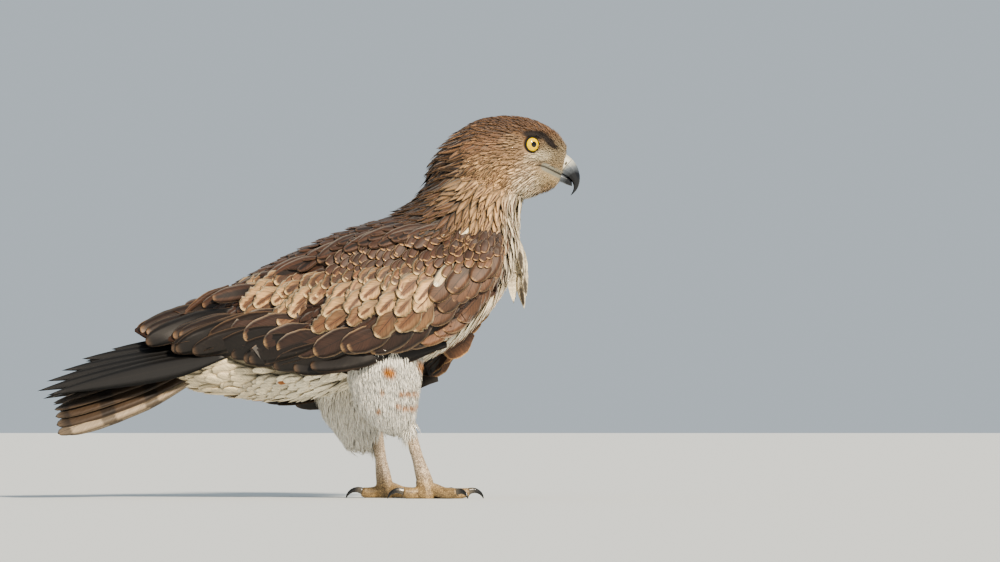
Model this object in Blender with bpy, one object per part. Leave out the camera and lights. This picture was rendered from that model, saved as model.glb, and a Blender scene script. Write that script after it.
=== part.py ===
"""A perched short-toed snake eagle, life size, as a still museum model in its standing pose.

Metres, +Z up. The bill points along +X and the bird's left side is +Y. The origin is the middle
of the model's box on the floor. Each named piece is one closed solid, with a hairline gap between
neighbours, and the outer faces follow the tips of the plumage.
"""

import math
from dataclasses import dataclass

import bmesh
import bpy
from mathutils import Matrix, Vector

GAP = 0.0003  # hairline between pieces that touch
TAU = 2 * math.pi

# Driving sizes of the bird, from an adult with a tarsus of 90 mm and a folded wing of 530 mm.
TAIL_TIP_X = -0.287
WING_TIP_X = -0.2968
EYE_RADIUS = 0.0120
EYE_HEIGHT = 0.3874
EYE_X = 0.2405
EYE_SIDE = 0.0240  # middle of the eyeball from the midline
EYE_FORWARD = math.radians(28)  # how far the eyes turn from sideways towards the bill
LEG_SIDE = 0.034  # each foot's distance from the midline
RIGHT, LEFT = -1, 1  # sides of the bird along Y
SIDE_NAMES = {RIGHT: "right", LEFT: "left"}

# Colours in linear light: red, green, blue.
UMBER = (0.10, 0.055, 0.032)
SANDY = (0.33, 0.20, 0.11)
CREAM = (0.72, 0.62, 0.48)
SOOT = (0.018, 0.013, 0.011)
HORN_GREY = (0.30, 0.33, 0.34)
HORN_BLACK = (0.02, 0.02, 0.022)
YELLOW = (0.85, 0.62, 0.02)
SCALE_GREY = (0.42, 0.37, 0.31)


def material(name, colour, roughness):
    """A plain painted finish with this colour and roughness."""
    made = bpy.data.materials.get(name) or bpy.data.materials.new(name)
    made.use_nodes = True
    shader = made.node_tree.nodes["Principled BSDF"]
    shader.inputs["Base Color"].default_value = (*colour, 1.0)
    shader.inputs["Roughness"].default_value = roughness
    shader.inputs["Metallic"].default_value = 0.0
    return made


def collection(name):
    """A new collection in the scene."""
    made = bpy.data.collections.new(name)
    bpy.context.scene.collection.children.link(made)
    return made


def smoothstep(x):
    """0 below 0, 1 above 1, with an eased run between."""
    x = min(max(x, 0.0), 1.0)
    return x * x * (3 - 2 * x)


def catmull_rom(a, b, c, d, u):
    """The Catmull-Rom curve between b and c at the share u, with a before them and d after."""
    bend = (2 * a - 5 * b + 4 * c - d) * u * u + (3 * b - a - 3 * c + d) * u ** 3
    return 0.5 * (2 * b + (c - a) * u + bend)


def spline(rows, steps):
    """A smooth run through rows of numbers, with this many steps between each pair of rows."""
    rows = [tuple(row) for row in rows]
    ends = [rows[0], *rows, rows[-1]]
    found = []
    for before, start, end, after in zip(ends, ends[1:], ends[2:], ends[3:]):
        for step in range(steps):
            u = step / steps
            found.append(tuple(catmull_rom(*four, u) for four in zip(before, start, end, after)))
    return [*found, rows[-1]]


def loft(name, rings, finish, parent_collection):
    """A closed solid through rings of equal point counts, capped at both ends."""
    around = len(rings[0])
    points = [point for ring in rings for point in ring]
    faces = []
    for level in range(len(rings) - 1):
        low, high = level * around, (level + 1) * around
        for i in range(around):
            j = (i + 1) % around
            faces.append((low + i, low + j, high + j, high + i))
    faces.append(tuple(reversed(range(around))))
    faces.append(tuple(range((len(rings) - 1) * around, len(rings) * around)))
    mesh = bpy.data.meshes.new(name)
    mesh.from_pydata(points, [], faces)
    work = bmesh.new()
    work.from_mesh(mesh)
    bmesh.ops.triangulate(work, faces=work.faces)
    bmesh.ops.recalc_face_normals(work, faces=work.faces)
    work.to_mesh(mesh)
    work.free()
    mesh.shade_smooth()
    mesh.materials.append(finish)
    made = bpy.data.objects.new(name, mesh)
    parent_collection.objects.link(made)
    return made


def baked(piece):
    """The piece with its modifiers applied to its own mesh."""
    bpy.context.view_layer.update()
    graph = bpy.context.evaluated_depsgraph_get()
    mesh = bpy.data.meshes.new_from_object(piece.evaluated_get(graph))
    piece.modifiers.clear()
    piece.data = mesh
    return piece


def helper(piece, by):
    """A hidden copy of the piece, every point moved out along its normal, for cutting a neighbour."""
    mesh = piece.data.copy()
    work = bmesh.new()
    work.from_mesh(mesh)
    work.normal_update()
    for vert in work.verts:
        vert.co += vert.normal * by
    work.to_mesh(mesh)
    work.free()
    made = bpy.data.objects.new(piece.name + "_cutter", mesh)
    made.hide_render = True
    made.display_type = "WIRE"
    CUTTERS.objects.link(made)
    return made


def boolean(piece, other, operation):
    """One Boolean, applied at once so that the next cut starts from a plain mesh."""
    modifier = piece.modifiers.new(operation.lower(), "BOOLEAN")
    modifier.operation = operation
    modifier.solver = "EXACT"
    modifier.object = other
    return baked(piece)


def carve(piece, *neighbours):
    """Cuts the neighbours out of the piece, with the hairline gap."""
    for neighbour in neighbours:
        boolean(piece, helper(neighbour, GAP), "DIFFERENCE")
    return piece


def join(piece, *others):
    """Unites the others with the piece and removes them."""
    for other in others:
        boolean(piece, other, "UNION")
        bpy.data.objects.remove(other)
    return piece


def slice_level(piece, height, keep_above):
    """Cuts the piece level at this height, keeps one side and closes the cut with a flat."""
    work = bmesh.new()
    work.from_mesh(piece.data)
    every = [*work.verts, *work.edges, *work.faces]
    down = (0, 0, -1 if keep_above else 1)
    made = bmesh.ops.bisect_plane(
        work, geom=every, plane_co=(0, 0, height), plane_no=down, clear_outer=True
    )
    edges = [item for item in made["geom_cut"] if isinstance(item, bmesh.types.BMEdge)]
    bmesh.ops.triangle_fill(work, edges=edges, use_beauty=True, use_dissolve=False)
    bmesh.ops.recalc_face_normals(work, faces=work.faces)
    work.to_mesh(piece.data)
    work.free()
    return piece


@dataclass
class Station:
    """One cross-section of the trunk or head: where it meets the back and the belly, and its width."""

    back_x: float
    back_z: float
    belly_x: float
    belly_z: float
    half_width: float
    fullness: float = 2.2  # superellipse power: 2 is an ellipse, more is boxier
    widest: float = 0.0  # above 0 the widest place is nearer the back

    def row(self):
        return (
            self.back_x, self.back_z, self.belly_x, self.belly_z,
            self.half_width, self.fullness, self.widest,
        )


def station_ring(row, around):
    """The closed section through one station, in the plane of its back and belly points."""
    back_x, back_z, belly_x, belly_z, half_width, fullness, widest = row
    ring = []
    for i in range(around):
        turn = TAU * i / around
        across = math.copysign(abs(math.sin(turn)) ** (2 / fullness), math.sin(turn))
        along = math.copysign(abs(math.cos(turn)) ** (2 / fullness), math.cos(turn))
        share = 0.5 + 0.5 * along + widest * (1 - along * along) / 2
        ring.append(
            (
                belly_x + (back_x - belly_x) * share,
                half_width * across,
                belly_z + (back_z - belly_z) * share,
            )
        )
    return ring


def stations_loft(name, stations, around, steps, finish, into):
    """A loft through stations, smoothed between them."""
    rows = spline([station.row() for station in stations], steps)
    return loft(name, [station_ring(row, around) for row in rows], finish, into)


# The trunk runs from the root of the tail to the foot of the neck.
TRUNK = [
    Station(-0.170, 0.168, -0.166, 0.135, 0.018),
    Station(-0.146, 0.193, -0.146, 0.1255, 0.030),
    Station(-0.110, 0.2190, -0.115, 0.1150, 0.044),
    Station(-0.060, 0.2510, -0.070, 0.1075, 0.058, 2.2, 0.10),
    Station(-0.011, 0.2755, -0.015, 0.1045, 0.068, 2.3, 0.10),
    Station(0.035, 0.2945, 0.045, 0.120, 0.076, 2.4, 0.10),
    Station(0.066, 0.3055, 0.105, 0.139, 0.079, 2.4, 0.10),
    Station(0.084, 0.3110, 0.158, 0.166, 0.078, 2.4, 0.08),
    Station(0.095, 0.3170, 0.200, 0.2045, 0.073, 2.3, 0.04),
    Station(0.104, 0.3235, 0.2245, 0.243, 0.066, 2.2, 0.0),
]
NECK = [
    Station(0.1043, 0.32375, 0.2247, 0.2434, 0.0655, 2.2),
    Station(0.1165, 0.3335, 0.2310, 0.281, 0.0575, 2.2),
    Station(0.1250, 0.3450, 0.2325, 0.310, 0.0515, 2.1),
    Station(0.1320, 0.3590, 0.2400, 0.332, 0.0460, 2.1),
    Station(0.1500, 0.3760, 0.2350, 0.352, 0.0330, 2.0),
]
# The head runs from the nape to the feathering round the base of the bill.
HEAD = [
    Station(0.1340, 0.3660, 0.1380, 0.3450, 0.014),
    Station(0.1430, 0.3810, 0.1470, 0.3290, 0.029),
    Station(0.1590, 0.3985, 0.1650, 0.3200, 0.0380),
    Station(0.1780, 0.4135, 0.1860, 0.3170, 0.0425, 2.2, -0.06),
    Station(0.2020, 0.4205, 0.2080, 0.3180, 0.0430, 2.2, -0.08),
    Station(0.2230, 0.4210, 0.2260, 0.3235, 0.0405, 2.2, -0.06),
    Station(0.2410, 0.4180, 0.2430, 0.3310, 0.0355, 2.3),
    Station(0.2570, 0.4115, 0.2570, 0.3365, 0.0285, 2.3),
    Station(0.2710, 0.4025, 0.2670, 0.3410, 0.0205, 2.2),
    Station(0.2830, 0.3870, 0.2755, 0.3475, 0.0125, 2.0),
]
BREAST_PLUME = [
    # x, y, z and half width of the loose feathers that hang off the breast
    (0.2215, 0.012, 0.2960, 0.0070),
    (0.2265, 0.016, 0.2760, 0.0093),
    (0.2305, 0.018, 0.2560, 0.0085),
    (0.2325, 0.018, 0.2400, 0.0052),
    (0.2330, 0.017, 0.2270, 0.0014),
]


def head_and_body(into):
    """Trunk, neck and head as three solids that meet at hairline joints."""
    brown, cream = material("umber_plumage", UMBER, 0.8), material("cream_plumage", CREAM, 0.85)
    trunk = stations_loft("trunk", TRUNK, 16, 2, cream, into)
    neck = stations_loft("neck", NECK, 16, 2, brown, into)
    head = stations_loft("head", HEAD, 16, 2, brown, into)
    plume_path = [Vector(row[:3]) for row in BREAST_PLUME]
    plume_girths = [(row[3] * 0.4, row[3], row[3]) for row in BREAST_PLUME]
    plume = tube("breast_plume", plume_path, plume_girths, 8, brown, into, Vector((1, 0, 0)))
    carve(neck, head)
    carve(plume, trunk, neck)
    return trunk, neck, head


@dataclass
class WingStation:
    """One upright cross-section of the folded wing, with distances from the midline."""

    x: float
    top: float
    bottom: float
    top_side: float
    bottom_side: float
    bulge: float
    thickness: float

    def row(self):
        return (
            self.x, self.top, self.bottom, self.top_side,
            self.bottom_side, self.bulge, self.thickness,
        )


# The folded wing from the wrist at the breast to the tips of the tertials over the tail.
WING = [
    WingStation(0.2160, 0.2680, 0.2500, 0.058, 0.060, 0.004, 0.012),
    WingStation(0.2080, 0.2790, 0.2290, 0.057, 0.063, 0.014, 0.022),
    WingStation(0.1880, 0.2865, 0.2055, 0.059, 0.070, 0.020, 0.026),
    WingStation(0.1600, 0.2890, 0.1880, 0.060, 0.078, 0.023, 0.028),
    WingStation(0.1250, 0.2890, 0.1680, 0.060, 0.084, 0.024, 0.026),
    WingStation(0.0850, 0.2840, 0.1570, 0.057, 0.084, 0.024, 0.023),
    WingStation(0.0440, 0.2730, 0.1500, 0.051, 0.081, 0.023, 0.020),
    WingStation(0.0050, 0.2600, 0.1420, 0.042, 0.074, 0.021, 0.018),
    WingStation(-0.0250, 0.2520, 0.1395, 0.030, 0.067, 0.019, 0.015),
    WingStation(-0.0550, 0.2450, 0.1475, 0.020, 0.059, 0.018, 0.012),
    WingStation(-0.0880, 0.2345, 0.1580, 0.011, 0.051, 0.016, 0.010),
    WingStation(-0.1200, 0.2180, 0.1620, 0.006, 0.045, 0.014, 0.008),
    WingStation(-0.1540, 0.2045, 0.1665, 0.005, 0.040, 0.011, 0.006),
    WingStation(-0.1790, 0.1945, 0.1730, 0.008, 0.035, 0.007, 0.004),
    WingStation(-0.1925, 0.1860, 0.1820, 0.014, 0.026, 0.003, 0.002),
]
WING_EDGE = 0.0012  # thickness of the feathered edges
WING_STEPS = 7  # points from the upper to the lower edge of a wing section
# The left wing hangs looser than the right: its lower edge drops from the wrist on and rises to the tertials.
LEFT_WING_DROP = 0.036
LEFT_WING_TOP_DROP = 0.006
DROP_STARTS, DROP_FULL, DROP_ENDS, DROP_GONE = 0.200, 0.120, -0.060, -0.175


def left_drop(x):
    """How much lower the left wing's lower edge hangs than the right wing's, at this place."""
    front = smoothstep((DROP_STARTS - x) / (DROP_STARTS - DROP_FULL))
    rear = smoothstep((x - DROP_GONE) / (DROP_ENDS - DROP_GONE))
    return LEFT_WING_DROP * front * rear


def wing_ring(row, side):
    """The closed lens of one wing section: down the outer face and back up the inner one."""
    x, top, bottom, top_side, bottom_side, bulge, thickness = row
    if side == LEFT:
        bottom -= left_drop(x)
        top -= LEFT_WING_TOP_DROP * left_drop(x) / LEFT_WING_DROP
    outer, inner = [], []
    for i in range(WING_STEPS + 1):
        t = i / WING_STEPS
        height = top + (bottom - top) * t
        chord = top_side + (bottom_side - top_side) * smoothstep(t)
        crown = math.sin(math.pi * t) ** 0.75 if 0 < i < WING_STEPS else 0.0
        out = chord + bulge * crown
        outer.append((x, side * out, height))
        inner.append((x, side * (out - WING_EDGE - thickness * crown), height))
    return outer + inner[::-1]


def wing(side, into):
    """The body of one folded wing: coverts, secondaries and tertials."""
    rings = [wing_ring(station.row(), side) for station in WING]
    name = "wing_" + SIDE_NAMES[side]
    return loft(name, rings, material("sandy_plumage", SANDY, 0.8), into)


@dataclass
class Quill:
    """The shaft of a long feather, from its root to its tip, and how far its middle sags."""

    root: tuple
    tip: tuple
    sag: float = 0.0


NOTCH = 0.958  # how far the web between two quill tips reaches, as a share of the quills


def fan(name, quills, thickness, lift, finish, into):
    """A sheet of overlapping quills as one closed solid, scalloped at the tips.

    Every quill has a column of points along its shaft, and the columns between shafts stop
    short, so that the end of the sheet shows each tip. The sheet is thick along the lift.
    """
    along = 4

    def shaft(root, tip, sag, reach):
        column = []
        for i in range(along + 1):
            t = i / along * reach
            column.append(root.lerp(tip, t) - Vector((0, 0, sag * math.sin(math.pi / 2 * t) ** 2)))
        return column

    ends = [(Vector(q.root), Vector(q.tip), q.sag) for q in quills]
    first, second, before, last = ends[0], ends[1], ends[-2], ends[-1]
    columns = [shaft(*[a + (a - b) * 0.5 for a, b in zip(first, second)], NOTCH)]
    for quill, following in zip(ends, ends[1:]):
        columns.append(shaft(*quill, 1.0))
        columns.append(shaft(*[(a + b) * 0.5 for a, b in zip(quill, following)], NOTCH))
    columns.append(shaft(*last, 1.0))
    columns.append(shaft(*[a + (a - b) * 0.5 for a, b in zip(last, before)], NOTCH))
    rise = Vector(lift) * thickness / 2
    count = len(columns)
    points = [p + rise for column in columns for p in column]
    points += [p - rise for column in columns for p in column]
    rows = along + 1
    layer = count * rows
    faces = []
    for c in range(count - 1):
        for r in range(along):
            a, b = c * rows + r, (c + 1) * rows + r
            faces.append((a, a + 1, b + 1, b))
            faces.append((layer + a, layer + b, layer + b + 1, layer + a + 1))
    rim = [c * rows for c in range(count)]
    rim += [(count - 1) * rows + r for r in range(1, rows)]
    rim += [c * rows + along for c in reversed(range(count - 1))]
    rim += [r for r in reversed(range(1, along))]
    for a, b in zip(rim, rim[1:] + rim[:1]):
        faces.append((a, b, layer + b, layer + a))
    mesh = bpy.data.meshes.new(name)
    mesh.from_pydata(points, [], faces)
    work = bmesh.new()
    work.from_mesh(mesh)
    bmesh.ops.triangulate(work, faces=work.faces)
    bmesh.ops.recalc_face_normals(work, faces=work.faces)
    work.to_mesh(mesh)
    work.free()
    mesh.shade_flat()
    mesh.materials.append(finish)
    made = bpy.data.objects.new(name, mesh)
    into.objects.link(made)
    return made


TAIL_QUILLS = 12
TAIL_ROOT = (-0.118, 0.161)  # x and z where the tail feathers gather under the coverts
TAIL_HALF_ROOT = 0.017
TAIL_HALF_TIP = 0.041
TAIL_TIP_HEIGHT = 0.1020
TAIL_ROOF = 0.0310  # how much lower the outermost tips hang than the middle ones
TAIL_ARCH = 0.007  # how much the shafts bow upwards on the way


def tail(into):
    """The folded tail, twelve quills wide, arched like a shallow roof."""
    quills = []
    for i in range(TAIL_QUILLS):
        place = 2 * i / (TAIL_QUILLS - 1) - 1
        fall = TAIL_ROOF * abs(place) ** 1.3
        step = 0.0018 * abs(i - (TAIL_QUILLS - 1) / 2)
        root = (TAIL_ROOT[0], TAIL_HALF_ROOT * place, TAIL_ROOT[1] - 0.82 * fall)
        tip = (TAIL_TIP_X + step, TAIL_HALF_TIP * place, TAIL_TIP_HEIGHT - fall)
        quills.append(Quill(root, tip, -TAIL_ARCH * (1 - abs(place))))
    return fan("tail", quills, 0.0022, (0, 0, 1), material("dark_quills", SOOT, 0.6), into)


PRIMARY_ROOT = (-0.085, 0.1670)
# How far the lowest and the topmost quill lie from the midline, at their roots and at their tips.
PRIMARY_ROOT_SIDES = (0.044, 0.036)
PRIMARY_TIP_SIDES = (0.040, 0.024)
# Tips of the folded primaries, lowest first, ahead of and above the longest one's.
PRIMARY_STEPS = (
    (0.0110, -0.0060),
    (0.0, 0.0),
    (0.0100, 0.0120),
    (0.0260, 0.0250),
    (0.0480, 0.0390),
    (0.0800, 0.0510),
)
LONGEST_TIP = (WING_TIP_X, 0.1085)


def primaries(side, into):
    """The black flight quills that reach past the wing along the tail, their tips in steps."""
    quills = []
    last = len(PRIMARY_STEPS) - 1
    for i, (ahead, above) in enumerate(PRIMARY_STEPS):
        share = i / last
        root_side = PRIMARY_ROOT_SIDES[0] + (PRIMARY_ROOT_SIDES[1] - PRIMARY_ROOT_SIDES[0]) * share
        tip_side = PRIMARY_TIP_SIDES[0] + (PRIMARY_TIP_SIDES[1] - PRIMARY_TIP_SIDES[0]) * share
        droop = 0.010 * (1 - share) if side == LEFT else 0.0
        root = (PRIMARY_ROOT[0], side * root_side, PRIMARY_ROOT[1] - 0.008 * (1 - share))
        tip = (LONGEST_TIP[0] + ahead, side * tip_side, LONGEST_TIP[1] + above - droop)
        quills.append(Quill(root, tip, -0.010 * (1 - 0.6 * share)))
    name = "primaries_" + SIDE_NAMES[side]
    return fan(name, quills, 0.0030, (0, 1, 0), material("dark_quills", SOOT, 0.6), into)


def tube_ring(centre, ahead, radii, around, up=Vector((0, 0, 1))):
    """A ring round a centreline point: radii are to the side, above and below."""
    ahead = ahead.normalized()
    side = up.cross(ahead)
    side = side.normalized() if side.length > 1e-6 else Vector((0, 1, 0))
    above = ahead.cross(side)
    ring = []
    for i in range(around):
        turn = TAU * i / around
        height = radii[1] if math.sin(turn) > 0 else radii[2]
        ring.append(centre + side * radii[0] * math.cos(turn) + above * height * math.sin(turn))
    return ring


def tube(name, path, radii, around, finish, into, up=Vector((0, 0, 1))):
    """A limb along a path, with its own side, upper and lower radius at each point."""
    rings = []
    for i, centre in enumerate(path):
        ahead = Vector(path[min(i + 1, len(path) - 1)]) - Vector(path[max(i - 1, 0)])
        rings.append(tube_ring(Vector(centre), ahead, radii[i], around, up))
    return loft(name, rings, finish, into)


@dataclass
class Leg:
    """One leg: its feathered thigh as level sections, the bare shank and the foot's turn.

    Each thigh section is x, distance from the midline, z, half depth along the body and half
    width across it.
    """

    side: int
    thigh: tuple
    shank_top: tuple
    ankle: tuple
    toe_turn: float


LEGS = [
    Leg(
        RIGHT,
        (
            (0.078, 0.050, 0.200, 0.040, 0.026),
            (0.083, 0.050, 0.165, 0.045, 0.031),
            (0.083, 0.048, 0.130, 0.0415, 0.031),
            (0.0845, 0.045, 0.102, 0.0355, 0.027),
            (0.0905, 0.042, 0.083, 0.0260, 0.020),
            (0.0960, 0.040, 0.071, 0.0110, 0.010),
        ),
        (0.1055, 0.039, 0.088),
        (0.1275, LEG_SIDE, 0.0165),
        math.radians(6),
    ),
    Leg(
        LEFT,
        (
            (0.060, 0.050, 0.185, 0.040, 0.026),
            (0.055, 0.050, 0.150, 0.045, 0.031),
            (0.046, 0.048, 0.116, 0.0440, 0.031),
            (0.0460, 0.046, 0.090, 0.0350, 0.027),
            (0.0520, 0.043, 0.068, 0.0235, 0.019),
            (0.0530, 0.041, 0.049, 0.0110, 0.010),
        ),
        (0.0705, 0.040, 0.086),
        (0.0812, LEG_SIDE, 0.0165),
        math.radians(16),
    ),
]
SHANK_RADIUS = 0.0060
ANKLE_CUT = 0.0190  # height of the level joint between the shank and the foot


def thigh(leg, into):
    """The feathered trousers of one leg, down to the top of the shank."""
    rings = []
    around = 14
    for x, y, z, depth, width in leg.thigh:
        turns = [TAU * i / around for i in range(around)]
        rings.append([(x + depth * math.cos(a), leg.side * y + width * math.sin(a), z) for a in turns])
    cream = material("cream_plumage", CREAM, 0.85)
    return loft("thigh_" + SIDE_NAMES[leg.side], rings, cream, into)


def shank(leg, into):
    """The bare, scaled tarsus from inside the thigh feathers down to the level ankle joint."""
    top, low = Vector(leg.shank_top), Vector(leg.ankle)
    steps = 5
    path, radii = [], []
    for i in range(steps + 1):
        t = i / steps * 1.05
        point = top.lerp(low, t)
        path.append((point.x, leg.side * point.y, point.z))
        flare = 1.0 + 0.16 * max(0.0, 1 - 2 * t) + 0.50 * smoothstep((t - 0.62) / 0.38)
        radii.append((SHANK_RADIUS * flare * 0.9, SHANK_RADIUS * flare, SHANK_RADIUS * flare))
    name = "shank_" + SIDE_NAMES[leg.side]
    grey = material("scaled_skin", SCALE_GREY, 0.6)
    made = tube(name, path, radii, 10, grey, into, Vector((1, 0, 0)))
    return slice_level(made, ANKLE_CUT + GAP / 2, True)


@dataclass
class Toe:
    """One toe: its direction from the foot's heading, its length, thickness and claw."""

    name: str
    heading: float
    length: float
    radius: float
    joints: int
    claw: float


TOES = [
    Toe("hallux", math.radians(172), 0.026, 0.0056, 1, 0.0250),
    Toe("inner", math.radians(-42), 0.034, 0.0053, 2, 0.0245),
    Toe("middle", math.radians(-4), 0.046, 0.0053, 3, 0.0235),
    Toe("outer", math.radians(34), 0.037, 0.0048, 3, 0.0200),
]
TOE_AXIS = 0.0060  # height of a toe's centreline where it lies on the floor
CLAW_BASE = 0.0037
BALL = ((-0.002, 0.0088), (0.003, 0.0102), (0.008, 0.0100), (0.013, 0.0092), (0.024, 0.0080))


def toe_path(foot, heading, toe):
    """The centreline of a toe on the floor, from inside the foot's ball to the claw."""
    ahead = Vector((math.cos(heading), math.sin(heading), 0))
    rise = 0.0068
    path = []
    steps = 5
    for i in range(steps + 1):
        t = i / steps
        height = TOE_AXIS + rise * (1 - smoothstep(t / 0.55))
        height += 0.0012 * smoothstep((t - 0.8) / 0.2)
        path.append(foot + ahead * (toe.length * t) + Vector((0, 0, height)))
    return path


def foot(leg, into):
    """One foot: the ball under the shank and its four toes, joined, flat on the floor, with claws."""
    grey = material("scaled_skin", SCALE_GREY, 0.6)
    side_name = SIDE_NAMES[leg.side]
    ball_at = Vector((leg.ankle[0] + 0.0015, leg.side * leg.ankle[1], 0.0))
    lean = (Vector(leg.shank_top) - Vector(leg.ankle)).normalized().x * 0.6
    column = [ball_at + Vector((lean * max(z, 0.0), 0, z)) for z, _ in BALL]
    radii = [(r, r, r) for _, r in BALL]
    made = tube("foot_" + side_name, column, radii, 10, grey, into, Vector((1, 0, 0)))
    claws = []
    for toe in TOES:
        heading = leg.toe_turn + leg.side * toe.heading
        path = toe_path(ball_at, heading, toe)
        girths = []
        for i in range(len(path)):
            t = i / (len(path) - 1)
            knuckle = 0.10 * math.cos(TAU * (toe.joints + 0.5) * t)
            taper = 1.12 - 0.26 * t
            r = toe.radius * (taper + knuckle * (0.4 + 0.6 * t))
            girths.append((r, r * 0.95, r * 1.25))
        join(made, tube(toe.name + "_" + side_name, path, girths, 8, grey, into))
        claws.append((toe, path, heading))
    slice_level(made, 0.0, True)
    slice_level(made, ANKLE_CUT - GAP / 2, False)
    black = material("horn_black", HORN_BLACK, 0.3)
    for toe, path, heading in claws:
        ahead = Vector((math.cos(heading), math.sin(heading), 0))
        talon = claw(f"claw_{toe.name}_{side_name}", path[-1], ahead, toe.claw, black, into)
        carve(talon, made)
    return made


CLAW_BEND = math.radians(112)
CLAW_START = math.radians(34)
CLAW_SINK = 0.0003  # how much of the claw's tip the floor takes off, which leaves a small flat


def claw(name, root, ahead, length, finish, into):
    """A talon: a tapering horn that arches up from the toe's end and curves down to the floor."""
    radius = length / CLAW_BEND
    steps = 7
    path, radii = [], []
    for i in range(steps + 1):
        t = i / steps
        angle = CLAW_START - CLAW_BEND * t
        out = radius * (math.sin(CLAW_START) - math.sin(angle))
        rise = radius * (math.cos(angle) - math.cos(CLAW_START))
        path.append(root + ahead * (out - 0.0015) + Vector((0, 0, rise - 0.0004)))
        r = CLAW_BASE * (1 - t) ** 0.8 + 0.00045
        radii.append((r * 0.80, r, r * 1.05))
    fall = path[-1].z + CLAW_SINK
    for i, point in enumerate(path):
        point.z -= fall * (i / steps) ** 1.5
    return slice_level(tube(name, path, radii, 7, finish, into), 0.0, True)


@dataclass
class BillStation:
    """One section of the bill: its upper and lower edge in side view and its half width."""

    top_x: float
    top_z: float
    low_x: float
    low_z: float
    half_width: float


UPPER_BILL = [
    BillStation(0.2640, 0.3800, 0.2560, 0.3640, 0.0100),
    BillStation(0.2790, 0.3798, 0.2660, 0.3600, 0.0096),
    BillStation(0.2885, 0.3728, 0.2740, 0.3566, 0.0086),
    BillStation(0.2935, 0.3655, 0.2800, 0.3540, 0.0074),
    BillStation(0.2960, 0.3580, 0.2850, 0.3506, 0.0060),
    BillStation(0.2968, 0.3515, 0.2882, 0.3472, 0.0046),
    BillStation(0.2955, 0.3440, 0.2896, 0.3420, 0.0031),
    BillStation(0.2925, 0.3382, 0.2886, 0.3375, 0.0016),
    BillStation(0.2868, 0.3326, 0.2862, 0.3332, 0.0005),
]
LOWER_BILL = [
    BillStation(0.2572, 0.3628, 0.2580, 0.3492, 0.0079),
    BillStation(0.2662, 0.3594, 0.2677, 0.3480, 0.0073),
    BillStation(0.2741, 0.3560, 0.2756, 0.3474, 0.0063),
    BillStation(0.2799, 0.3534, 0.2814, 0.3450, 0.0051),
    BillStation(0.2848, 0.3500, 0.2856, 0.3436, 0.0037),
    BillStation(0.2879, 0.3465, 0.2884, 0.3428, 0.0019),
]
CERE_END = 2  # the cere covers the bill's base up to this station


def bill_ring(row, around, ridge):
    """A section of the bill, narrower at the ridge than at the cutting edge."""
    top_x, top_z, low_x, low_z, half_width = row
    ring = []
    for i in range(around):
        turn = TAU * i / around
        share = 0.5 + 0.5 * math.cos(turn)
        width = half_width * math.sin(turn) * (1 - ridge * share)
        ring.append((low_x + (top_x - low_x) * share, width, low_z + (top_z - low_z) * share))
    return ring


def bill(head, into):
    """Cere, hooked upper mandible and lower mandible."""
    grey, black = material("horn_grey", HORN_GREY, 0.35), material("horn_black", HORN_BLACK, 0.3)
    made = []
    upper = [tuple(vars(s).values()) for s in UPPER_BILL]
    cere_rows = spline(upper[: CERE_END + 1], 2)
    bill_rows = spline(upper[CERE_END:], 2)
    nudge = [(a + GAP, b, c + GAP, d, w * 0.985) for a, b, c, d, w in bill_rows]
    made.append(loft("cere", [bill_ring(r, 10, 0.30) for r in cere_rows], grey, into))
    made.append(loft("bill_upper", [bill_ring(r, 10, 0.30) for r in nudge], black, into))
    lower_rows = spline([tuple(vars(s).values()) for s in LOWER_BILL], 2)
    lower = loft("bill_lower", [bill_ring(r, 10, -0.10) for r in lower_rows], black, into)
    carve(lower, *made)
    made.append(lower)
    for piece in made:
        carve(head, piece)
    return made


def eyes(head, into):
    """Two round eyeballs, each in its own socket in the head."""
    for side in (RIGHT, LEFT):
        bpy.ops.mesh.primitive_uv_sphere_add(
            segments=12,
            ring_count=8,
            radius=EYE_RADIUS,
            location=(EYE_X, side * EYE_SIDE, EYE_HEIGHT),
            rotation=(math.radians(90), 0, -side * EYE_FORWARD),
        )
        ball = bpy.context.object
        ball.name = "eye_" + SIDE_NAMES[side]
        ball.data.name = ball.name
        ball.data.transform(ball.matrix_world)
        ball.matrix_world = Matrix.Identity(4)
        ball.data.shade_smooth()
        ball.data.materials.append(material("iris_yellow", YELLOW, 0.1))
        for owner in list(ball.users_collection):
            owner.objects.unlink(ball)
        into.objects.link(ball)
        carve(head, ball)


def settle(into):
    """Hangs every piece on one empty and moves it so that the origin is under the model's middle."""
    bpy.context.view_layer.update()
    corners = [piece.matrix_world @ vert.co for piece in into.objects for vert in piece.data.vertices]
    middle_x = (min(c.x for c in corners) + max(c.x for c in corners)) / 2
    middle_y = (min(c.y for c in corners) + max(c.y for c in corners)) / 2
    eagle = bpy.data.objects.new("eagle", None)
    bpy.context.scene.collection.objects.link(eagle)
    for piece in into.objects:
        piece.parent = eagle
    eagle.location = (-middle_x, -middle_y, 0.0)


for old in list(bpy.data.objects):
    bpy.data.objects.remove(old)
EAGLE = collection("short_toed_snake_eagle")
CUTTERS = collection("cutters")

trunk, neck, head = head_and_body(EAGLE)
bill_pieces = bill(head, EAGLE)
carve(neck, bill_pieces[2])
eyes(head, EAGLE)
wings = {side: wing(side, EAGLE) for side in (RIGHT, LEFT)}
quills = {side: primaries(side, EAGLE) for side in (RIGHT, LEFT)}
carve(trunk, *wings.values())
carve(neck, *wings.values())
fan_tail = tail(EAGLE)
carve(fan_tail, trunk, *wings.values())
for side in (RIGHT, LEFT):
    carve(quills[side], trunk, wings[side], fan_tail)
for leg in LEGS:
    trousers = thigh(leg, EAGLE)
    carve(trousers, trunk, wings[leg.side])
    shin = shank(leg, EAGLE)
    carve(shin, trousers)
    pad = foot(leg, EAGLE)
    carve(shin, pad)
settle(EAGLE)
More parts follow.
